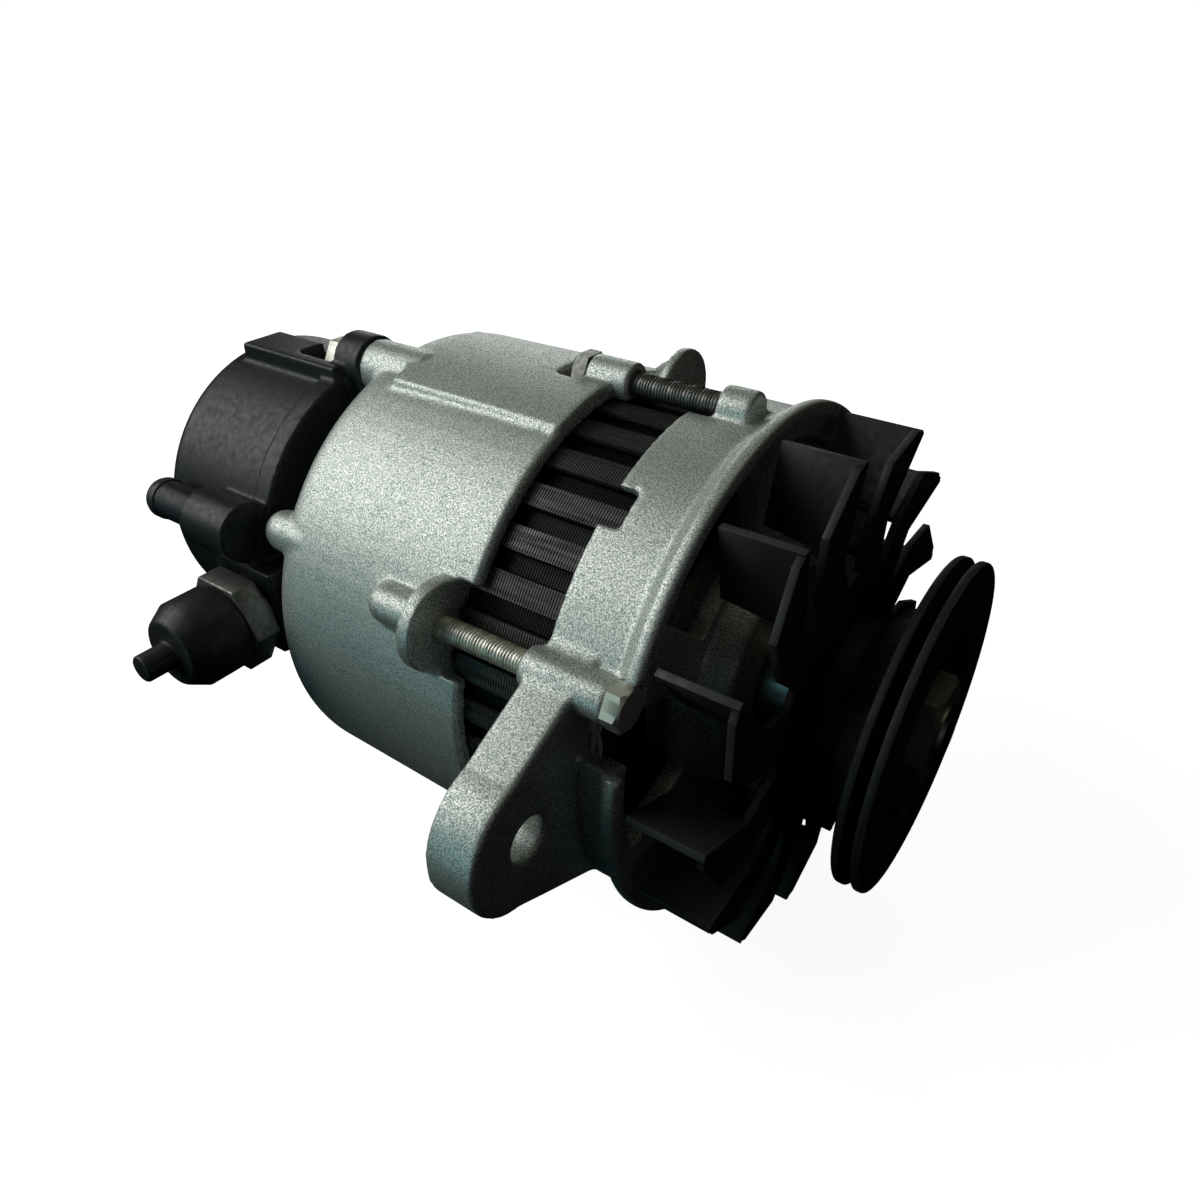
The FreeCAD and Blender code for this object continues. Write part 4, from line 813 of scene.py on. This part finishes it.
def joined(name: str, pieces: Sequence[bpy.types.Object], finish: Finish,
           sharp: float = 38.0) -> bpy.types.Object:
    """Joins pieces of one body into one object.

    Args:
        name: Name of the joined piece.
        pieces: The objects, which are removed.
        finish: The joined piece's finish.
        sharp: Angle in degrees above which an edge stays sharp.

    Returns:
        The joined piece.
    """
    work = bmesh.new()
    materials = [finish.material()]
    for piece in pieces:
        known = len(work.faces)
        work.from_mesh(piece.data)
        material = piece.data.materials[0]
        if material not in materials:
            materials.append(material)
        work.faces.ensure_lookup_table()
        for face in work.faces[known:]:
            face.material_index = materials.index(material)
        bpy.data.objects.remove(piece)
    whole = new_piece(name, work, finish, sharp)
    for material in materials[1:]:
        whole.data.materials.append(material)
    return whole


@dataclass
class Assembly:
    """A sub-assembly that dresses some of the frame's nodes.

    Attributes:
        body: Body that its pieces ride on.
    """

    body: Body = Body.HOUSING

    def stand_for(self, piece: bpy.types.Object, finish: Finish, *nodes: str) -> None:
        """Lets a finished piece stand for nodes.

        Args:
            piece: The finished piece.
            finish: Its finish; it is not used.
            nodes: Nodes that it replaces.
        """
        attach(piece, self.body.value)
        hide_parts(*nodes)
        log.info("%s: %d faces", piece.name, len(piece.data.polygons))

    def dress(self, finish: Finish, *nodes: str) -> None:
        """Gives nodes a finish and leaves their shape.

        Args:
            finish: The finish.
            nodes: Names of the nodes.
        """
        for name in nodes:
            mesh = node_of(name).data
            mesh.materials.clear()
            mesh.materials.append(finish.material())
            log.info("%s keeps its shape", name)


@dataclass
class Castings(Assembly):
    """The two castings, with rounded corners and a grainy skin.

    Attributes:
        voxel: Grid that the castings are rebuilt on.
        passes: Rounds of smoothing.
        share: Share of triangles that is kept.
    """

    voxel: float = 0.7 * MM
    passes: int = 4
    share: float = 0.42

    def build(self) -> None:
        """Makes the drive end bracket and the rear housing."""
        for node in ("drive_end_bracket", "rear_housing"):
            piece = cast_copy(node, CAST_ALUMINIUM, self.voxel, self.passes, self.share)
            self.stand_for(piece, CAST_ALUMINIUM, node)


@dataclass
class Stator(Assembly):
    """The laminated core and its winding.

    Attributes:
        teeth: Slots inside and grooves outside.
        pitch: Distance from sheet to sheet.
        gap: Depth of the joint between sheets.
        groove_depth: Depth of the grooves outside.
        groove_width: Width of the grooves at the outside.
        bore: Radius inside the teeth.
        slot_bottom: Radius of the slots' bottoms.
        slot_width: Width of the slots.
        tooth_tip: Height of the teeth's wider tips.
        wire: Radius of the winding wire.
        end_inset: Distance of the innermost loops from the bore.
        end_margin: Distance of the outermost loops from the slots' bottoms.
        bar_margin: Space left beside the bars in their slots.
        layers: Shift outwards and height of each layer of loops, in millimetres.
    """

    teeth: int = 36
    pitch: float = 0.68 * MM
    gap: float = 0.24 * MM
    groove_depth: float = 2.0 * MM
    groove_width: float = 4.9 * MM
    bore: float = 45.0 * MM
    slot_bottom: float = 53.5 * MM
    slot_width: float = 4.0 * MM
    tooth_tip: float = 1.5 * MM
    wire: float = 0.62 * MM
    end_inset: float = 2.2 * MM
    end_margin: float = 1.0 * MM
    bar_margin: float = 0.35 * MM
    layers: tuple[tuple[float, float], ...] = ((0.2, 3.2), (1.5, 5.0), (2.8, 5.4), (1.0, 6.6))

    def sheet(self, start: float) -> bmesh.types.BMesh:
        """Draws one stamped sheet.

        Args:
            start: Place of its rear face along X.

        Returns:
            The sheet's mesh.
        """
        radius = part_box("stator_core")[1].z
        step = math.tau / self.teeth
        groove = self.groove_width / radius / 2
        bottom = groove * 0.86
        bottom_radius = radius - self.groove_depth
        slot = self.slot_width / self.slot_bottom / 2
        mouth = slot * 0.6
        tip_radius = self.bore + self.tooth_tip
        outside = [(-groove, radius), (-bottom, bottom_radius), (bottom, bottom_radius), (groove, radius),
                   (step * 0.36, radius), (step * 0.5, radius), (step * 0.64, radius)]
        inside = [(-mouth, self.bore), (-slot, tip_radius), (-slot, self.slot_bottom),
                  (slot, self.slot_bottom), (slot, tip_radius), (mouth, self.bore), (step * 0.5, self.bore)]
        work = bmesh.new()
        back_outer, back_inner, front_outer, front_inner = (
            ring_of(work, ((x, reach, angle + tooth * step) for tooth in range(self.teeth)
                           for angle, reach in places))
            for x in (start, start + self.pitch - self.gap) for places in (outside, inside))
        count = self.teeth * len(outside)
        for first, second in ((back_outer, front_outer), (front_inner, back_inner),
                              (back_inner, back_outer), (front_outer, front_inner)):
            for spot in range(count):
                after = (spot + 1) % count
                work.faces.new([first[spot], first[after], second[after], second[spot]])
        return work

    def core(self, stack: TreeMaker) -> None:
        """Stacks the sheets into the core.

        Args:
            stack: Tree that repeats a sheet.
        """
        low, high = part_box("stator_core")
        count = int((high.x - low.x) / self.pitch)
        spread = (high.x - low.x - (self.pitch - self.gap)) / (count - 1)
        piece = new_piece("stator_sheets", self.sheet(low.x), LAMINATIONS)
        stack.run(piece, count=count, pitch=spread, material=LAMINATIONS.material())
        self.stand_for(piece, LAMINATIONS, "stator_core")

    def winding(self, loops: TreeMaker) -> None:
        """Lays the wire loops at both faces, round the slots' bars.

        Args:
            loops: Tree for the loops of wire.
        """
        low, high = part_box("stator_winding")
        core_low, core_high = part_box("stator_core")
        inner = self.bore + self.end_inset
        outer = self.slot_bottom - self.end_margin
        overlap = 1.0 * MM
        slope, deepest, widest = 0.3, 3.0, 5.0
        pieces = []
        for side, face, end, sign in (("front", core_high.x, high.x, 1), ("rear", core_low.x, low.x, -1)):
            reach = sign * (end - face)
            for layer, (offset, height) in enumerate(self.layers):
                piece = empty_piece(f"end_turns_{side}_{layer}")
                tall = min(height * MM, reach - self.wire * 1.2)
                loops.run(piece, count=self.teeth, inner=inner + offset * MM,
                          outer=outer - (deepest - offset) * slope * MM, face=face - sign * overlap,
                          height=sign * tall, wire=self.wire, span=math.tau / self.teeth * (widest - layer),
                          material=COPPER_WIRE.material())
                pieces.append(piece)
        pieces.append(new_piece("slot_bars", self.bars(core_low.x, core_high.x, overlap), COPPER_WIRE))
        self.stand_for(joined("stator_coils", pieces, COPPER_WIRE), COPPER_WIRE, "stator_winding")

    def bars(self, start: float, stop: float, overhang: float) -> bmesh.types.BMesh:
        """Fills the slots with the straight lengths of the winding.

        Args:
            start: Rear face of the core along X.
            stop: Front face of the core along X.
            overhang: How far the bars reach past both faces.

        Returns:
            The bars' mesh.
        """
        inner_gap, outer_gap = 0.3 * MM, 0.6 * MM
        work = bmesh.new()
        low = self.bore + self.tooth_tip + inner_gap
        depth = self.slot_bottom - outer_gap - low
        place = Matrix.Translation(((start + stop) / 2, low + depth / 2, 0))
        width = self.slot_width - 2 * self.bar_margin
        scale = Matrix.Diagonal((stop - start + 2 * overhang, depth, width, 1))
        for tooth in range(self.teeth):
            turn = Matrix.Rotation(math.tau * tooth / self.teeth, 4, "X")
            made = bmesh.ops.create_cube(work, size=1.0)["verts"]
            bmesh.ops.transform(work, matrix=turn @ place @ scale, verts=made)
        return work

    def build(self, stack: TreeMaker, loops: TreeMaker) -> None:
        """Makes the core and the winding.

        Args:
            stack: Tree that repeats a sheet.
            loops: Tree for the loops of wire.
        """
        self.core(stack)
        self.winding(loops)


@dataclass
class Fasteners(Assembly):
    """Bolts and studs, with real threads and turned heads.

    Attributes:
        pitch: Pitch of the through bolts' threads.
        ridge: Height of the threads.
        radius: Radius of the through bolts over the thread.
        head: Height of a through bolt's head.
        flats: Through bolt's head across flats.
        edge: Width of the broken edges on nuts, screws and the union.
    """

    pitch: float = 0.8 * MM
    ridge: float = 0.36 * MM
    radius: float = 2.9 * MM
    head: float = 4.0 * MM
    flats: float = 9.4 * MM
    edge: float = 0.4 * MM

    def threaded(self, helix: TreeMaker, name: str, start: float, stop: float, radius: float,
                 centre: tuple[float, float], finish: Finish) -> bpy.types.Object:
        """Makes a threaded length of rod along X.

        Args:
            helix: Tree for the ridge.
            name: Name of the piece.
            start: Lower end along X.
            stop: Upper end along X.
            radius: Radius over the thread.
            centre: Y and Z of its axis.
            finish: Its finish.

        Returns:
            The rod with its thread.
        """
        inset = self.ridge * 0.5
        piece = empty_piece(name)
        length = stop - start - self.pitch
        helix.run(piece, radius=radius - inset, turns=length / self.pitch, length=length, wire=inset, sides=4,
                  material=finish.material())
        piece.data.transform(Matrix.Translation((start + self.pitch / 2, *centre)))
        core = bmesh.new()
        root = radius - self.ridge * 0.8
        chamfer = 0.3 * MM
        lathe(core, [(start, 0), (start, root - chamfer), (start + chamfer, root), (stop - chamfer, root),
                     (stop, root - chamfer), (stop, 0)], centre, 28)
        return joined(name, [piece, new_piece(f"{name}_core", core, finish)], finish)

    def through_bolts(self, helix: TreeMaker) -> None:
        """Makes the through bolts with their heads at whichever end the frame has them.

        Args:
            helix: Tree for the threads.
        """
        pieces = []
        boxes = solid_boxes("through_bolts")
        front = max(high.x for _, high in boxes)
        for index, (low, high) in enumerate(boxes):
            centre = ((low.y + high.y) / 2, (low.z + high.z) / 2)
            ahead = high.x > front - MM
            outer = high.x if ahead else low.x
            seat = high.x - self.head if ahead else low.x + self.head
            start, stop = (low.x, seat + MM) if ahead else (seat - MM, high.x)
            finish = ZINC_STEEL if ahead else DULL_STEEL
            pieces.append(self.threaded(helix, f"bolt_{index}", start, stop, self.radius, centre, finish))
            head = bmesh.new()
            hexagon_head(head, self.flats, seat, outer, centre)
            pieces.append(new_piece(f"bolt_head_{index}", head, finish))
        self.stand_for(joined("through_bolts_threaded", pieces, ZINC_STEEL), ZINC_STEEL, "through_bolts")

    def build(self, helix: TreeMaker) -> None:
        """Makes every bolt, screw and nut of the housing.

        Args:
            helix: Tree for the threads.
        """
        self.through_bolts(helix)
        for node in ("pump_bolts", "terminal_nut", "output_terminal"):
            self.stand_for(eased(node, ZINC_STEEL, self.edge), ZINC_STEEL, node)
        for node in ("vacuum_union", "union_washer"):
            self.stand_for(eased(node, DULL_STEEL, self.edge), DULL_STEEL, node)
        self.dress(ZINC_STEEL, "retainer_screws", "bearing_retainer")


@dataclass
class Rectifier(Assembly):
    """Heat sinks, diodes, brush holder and regulator under the rear housing."""

    def build(self) -> None:
        """Dresses the parts of the rectifier and the regulator."""
        self.dress(HEAT_SINK, "rectifier_plate_negative", "rectifier_plate_positive")
        self.dress(BEARING_STEEL, "diodes_negative", "diodes_positive")
        self.dress(INSULATION, "rectifier_insulators")
        self.dress(MOULDED_PLASTIC, "brush_holder", "voltage_regulator", "terminal_insulator")


@dataclass
class Springs(Assembly):
    """The two coil springs that press the brushes on their rings.

    Attributes:
        wire: Radius of the wire.
        turns: Turns of each spring.
        travel: How far a brush can push its spring; it is not used.
    """

    wire: float = 0.3 * MM
    turns: float = 9.0
    travel: float = 6.0 * MM

    def build(self, helix: TreeMaker) -> None:
        """Winds both springs.

        Args:
            helix: Tree for the coil.
        """
        for side in ("front", "rear"):
            node = f"brush_spring_{side}"
            low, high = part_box(node)
            middle = (low + high) / 2
            piece = empty_piece(f"{node}_coil")
            length = high.z - low.z - self.wire * 2
            helix.run(piece, radius=(high.x - low.x) / 2 - self.wire, turns=self.turns, length=length,
                      wire=self.wire, sides=8, material=SPRING_STEEL.material())
            foot = Matrix.Translation((middle.x, middle.y, low.z + self.wire))
            piece.data.transform(foot @ Matrix.Rotation(-math.pi / 2, 4, "Y"))
            piece.data.shade_smooth()
            self.stand_for(piece, SPRING_STEEL, node)
            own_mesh(piece)


@dataclass
class VacuumPump(Assembly):
    """The painted pump with its pipe and cap, and the seals and rings near it.

    Attributes:
        voxel: Grid that the pump's casting is rebuilt on.
        passes: Rounds of smoothing.
        share: Share of triangles that is kept.
        pipe_edge: Width of the pipe's broken edges.
        cap_edge: Width of the cap's broken edges.
    """

    voxel: float = 0.6 * MM
    passes: int = 3
    share: float = 0.4
    pipe_edge: float = 0.4 * MM
    cap_edge: float = 0.8 * MM

    def build(self) -> None:
        """Makes the pump's casting and dresses what belongs to it."""
        body = cast_copy("pump_body", PUMP_PAINT, self.voxel, self.passes, self.share)
        self.stand_for(body, PUMP_PAINT, "pump_body")
        self.stand_for(eased("oil_inlet_pipe", PUMP_PAINT, self.pipe_edge), PUMP_PAINT, "oil_inlet_pipe")
        self.stand_for(eased("union_cap", CAP_PLASTIC, self.cap_edge, 3), CAP_PLASTIC, "union_cap")
        self.dress(HEAT_SINK, "pump_end_plate")
        self.dress(GASKET_PAPER, "pump_gasket")
        self.dress(SEAL_RUBBER, "shaft_oil_seal")
        self.dress(BEARING_STEEL, "front_bearing_outer_ring", "rear_bearing_outer_ring")


@dataclass
class FieldWinding(Assembly):
    """The rotor's poles, shaft and wound coil.

    Attributes:
        body: Body that its pieces ride on.
        wire: Radius of the coil's wire.
        depth: Thickness of the coil.
        pole_edge: Width of the poles' broken edges.
    """

    body: Body = Body.ROTOR
    wire: float = 0.5 * MM
    depth: float = 6.0 * MM
    pole_edge: float = 0.5 * MM

    def coil(self, stack: TreeMaker) -> None:
        """Winds the outer layer of wire over the coil's solid body.

        Args:
            stack: Tree that repeats a turn along the shaft.
        """
        low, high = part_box("field_coil")
        outer = high.z
        inner = outer - self.depth
        top = outer - self.wire
        count = int((high.x - low.x) / (self.wire * 2))
        sides, soft = 8, 80.0
        strand = [(low.x + self.wire + self.wire * math.cos(a), top + self.wire * math.sin(a))
                  for a in (math.tau * step / sides for step in range(sides + 1))]
        block = [(low.x, inner), (low.x, top), (high.x, top), (high.x, inner), (low.x, inner)]
        pieces = []
        for name, profile in (("coil_turns", strand), ("coil_core", block)):
            work = bmesh.new()
            lathe(work, profile, segments=72)
            bmesh.ops.remove_doubles(work, verts=work.verts, dist=FINE_WELD)
            bmesh.ops.recalc_face_normals(work, faces=work.faces)
            pieces.append(new_piece(name, work, COPPER_WIRE, soft))
        stack.run(pieces[0], count=count, pitch=(high.x - low.x - self.wire * 2) / (count - 1),
                  material=COPPER_WIRE.material())
        self.stand_for(joined("field_coil_turns", pieces, COPPER_WIRE, soft), COPPER_WIRE, "field_coil")

    def build(self, stack: TreeMaker) -> None:
        """Dresses the rotor's inside.

        Args:
            stack: Tree that repeats a turn along the shaft.
        """
        self.coil(stack)
        for node in ("claw_pole_front", "claw_pole_rear"):
            self.stand_for(eased(node, POLE_STEEL, self.pole_edge), POLE_STEEL, node)
        self.dress(POLE_STEEL, "field_core")
        self.dress(SHAFT_STEEL, "rotor_shaft", "pump_rotor")
        self.dress(INSULATION, "coil_bobbin", "slip_ring_insulator", "pump_vanes")
        self.dress(RING_COPPER, "slip_ring_front", "slip_ring_rear")
        self.dress(BEARING_STEEL, "front_bearing_inner_ring", "rear_bearing_inner_ring")


@dataclass
class DriveEnd(Assembly):
    """Fan, pulley, washer and nut on the shaft's front end.

    Attributes:
        body: Body that its pieces ride on.
        fan_edge: Width of the fan's broken edges.
        pulley_edge: Width of the pulley's broken edges.
        nut_edge: Width of the nut's and washer's broken edges.
    """

    body: Body = Body.ROTOR
    fan_edge: float = 0.3 * MM
    pulley_edge: float = 0.5 * MM
    nut_edge: float = 0.4 * MM

    def build(self) -> None:
        """Eases the edges of the painted and plated pieces."""
        self.stand_for(eased("fan", FAN_PAINT, self.fan_edge), FAN_PAINT, "fan")
        for node in ("pulley_rear_half", "pulley_front_half"):
            self.stand_for(eased(node, FAN_PAINT, self.pulley_edge, 3), FAN_PAINT, node)
        for node, finish in (("nut_washer", SHAFT_STEEL), ("pulley_nut", NUT_STEEL)):
            self.stand_for(eased(node, finish, self.nut_edge), finish, node)
        self.dress(SHAFT_STEEL, "fan_spacer")


@dataclass
class LooseParts(Assembly):
    """Balls, cages and brushes, which keep their shapes and their bodies."""

    def build(self) -> None:
        """Dresses the small moving parts."""
        self.dress(BEARING_STEEL, "front_bearing_balls", "rear_bearing_balls")
        self.dress(RING_COPPER, "front_bearing_cage", "rear_bearing_cage")
        self.dress(BRUSH_CARBON, "brush_front", "brush_rear")


@dataclass(frozen=True)
class Lamp:
    """A square soft light that points at the part.

    Attributes:
        name: Name of the light.
        place: Where it hangs.
        size: Length of its side.
        power: Power in watts.
        colour: Its colour.
    """

    name: str
    place: Place
    size: float
    power: float
    colour: Colour

    def hang(self, target: Place) -> None:
        """Adds the light to the scene.

        Args:
            target: Place that it points at.
        """
        data = bpy.data.lights.new(self.name, "AREA")
        data.size = self.size
        data.energy = self.power
        data.color = self.colour
        lamp = placed(self.name, data)
        lamp.location = self.place
        aim = Vector(target) - Vector(self.place)
        lamp.rotation_euler = aim.to_track_quat("-Z", "Y").to_euler()


@dataclass
class Studio:
    """Floor, soft lights and the camera at the photograph's angle.

    Attributes:
        camera_place: Where the camera stands.
        camera_aim: Direction that it looks in.
        camera_roll: Turn about that direction, in radians.
        lens: Focal length in millimetres on the sensor below.
        shift: Shift of the picture's middle, as a share of its width.
        sensor: Width of the sensor in millimetres.
        floor_glow: The floor's own light under the part; far off it is as pale as the surroundings.
        glow_start: Distance from the origin where the floor begins to grow paler.
        glow_stop: Distance where it is as pale as the surroundings.
        floor_reach: Distance from the floor's middle to its sides.
        floor_drop: Distance of the floor under the part's lowest point.
        middle: Place that the lights point at.
        lamps: The lights.
    """

    camera_place: Place = (0.0349, -0.1777, 0.1431)
    camera_aim: Place = (-0.4772, 0.6823, -0.5539)
    camera_roll: float = 0.0031
    lens: float = 28.33
    shift: tuple[float, float] = (0.0008, 0.0042)
    sensor: float = 36.0
    floor_glow: float = 0.93
    glow_start: float = 0.12
    glow_stop: float = 0.45
    floor_reach: float = 6.0
    floor_drop: float = 0.1 * MM
    middle: Place = (-0.07, 0.0, 0.0)
    lamps: tuple[Lamp, ...] = (
        Lamp("key", (-0.72, -0.44, 0.56), 0.75, 4.3, (0.97, 1.0, 0.97)),
        Lamp("fill_low", (-0.3, -0.7, -0.02), 0.5, 0.4, (0.35, 0.9, 0.95)),
        Lamp("fill_top", (0.1, 0.25, 0.9), 0.7, 0.4, (0.95, 1.0, 0.7)),
        Lamp("fill_right", (0.7, -0.3, 0.3), 0.6, 0.14, (0.95, 0.85, 0.95)),
        Lamp("back", (-0.62, 0.72, 0.3), 0.6, 1.6, (0.96, 1.0, 0.98)),
    )

    def camera(self) -> None:
        """Sets up the camera."""
        data = bpy.data.cameras.new("camera")
        data.lens = self.lens
        data.sensor_width = self.sensor
        data.shift_x, data.shift_y = self.shift
        data.clip_start = 0.01
        camera = placed("camera", data)
        camera.location = self.camera_place
        camera.rotation_euler = Vector(self.camera_aim).to_track_quat("-Z", "Y").to_euler()
        camera.rotation_euler.rotate_axis("Z", self.camera_roll)
        bpy.context.scene.camera = camera

    def floor(self) -> None:
        """Lays the pale floor under the part's lowest point."""
        work = bmesh.new()
        bmesh.ops.create_grid(work, x_segments=1, y_segments=1, size=self.floor_reach)
        mesh = bpy.data.meshes.new("floor")
        work.to_mesh(mesh)
        work.free()
        maker = ShaderMaker("pale_floor")
        tone = maker.ramp(maker.noise(40.0), [(maker.PATTERN_LOW, (0.40, 0.40, 0.40)),
                                              (maker.PATTERN_HIGH, (0.43, 0.43, 0.43))])
        glow = maker.map_range(maker.distance(), self.glow_start, self.glow_stop, self.floor_glow, 1.0)
        maker.link(tone, maker.surface.inputs["Base Color"])
        maker.link(glow, maker.surface.inputs["Emission Strength"])
        maker.surface.inputs["Roughness"].default_value = 0.9
        maker.surface.inputs["Emission Color"].default_value = (1.0, 1.0, 1.0, 1.0)
        mesh.materials.append(maker.material)
        floor = placed("floor", mesh)
        floor.location.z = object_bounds()[0][2] - self.floor_drop
        floor.visible_diffuse = False
        floor.visible_glossy = False
        floor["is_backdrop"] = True

    def world(self) -> None:
        """Sets the pale surroundings, which the camera sees and the part's surfaces don't."""
        world = bpy.data.worlds.new("surroundings")
        world.use_nodes = True
        back = world.node_tree.nodes["Background"]
        back.inputs["Color"].default_value = (1.0, 1.0, 1.0, 1.0)
        back.inputs["Strength"].default_value = 1.0
        bpy.context.scene.world = world
        world.cycles_visibility.diffuse = False
        world.cycles_visibility.glossy = False

    def build(self) -> None:
        """Sets up the whole studio."""
        self.camera()
        self.floor()
        self.world()
        for lamp in self.lamps:
            lamp.hang(self.middle)
        bpy.context.scene.view_settings.view_transform = "Standard"


def main() -> None:
    """Builds every sub-assembly in turn, then the studio."""
    logging.basicConfig(level=logging.INFO, format="%(message)s")
    stack, helix, loops = stack_tree(), helix_tree(), end_turn_tree()
    steps: list[tuple[str, Callable[[], None]]] = [
        ("castings", Castings().build),
        ("stator", lambda: Stator().build(stack, loops)),
        ("fasteners", lambda: Fasteners().build(helix)),
        ("rectifier", Rectifier().build),
        ("springs", lambda: Springs().build(helix)),
        ("vacuum pump", VacuumPump().build),
        ("field winding", lambda: FieldWinding().build(stack)),
        ("drive end", DriveEnd().build),
        ("loose parts", LooseParts().build),
        ("studio", Studio().build),
    ]
    for name, step in steps:
        log.info("building the %s", name)
        step()


if __name__ == "__main__":
    main()
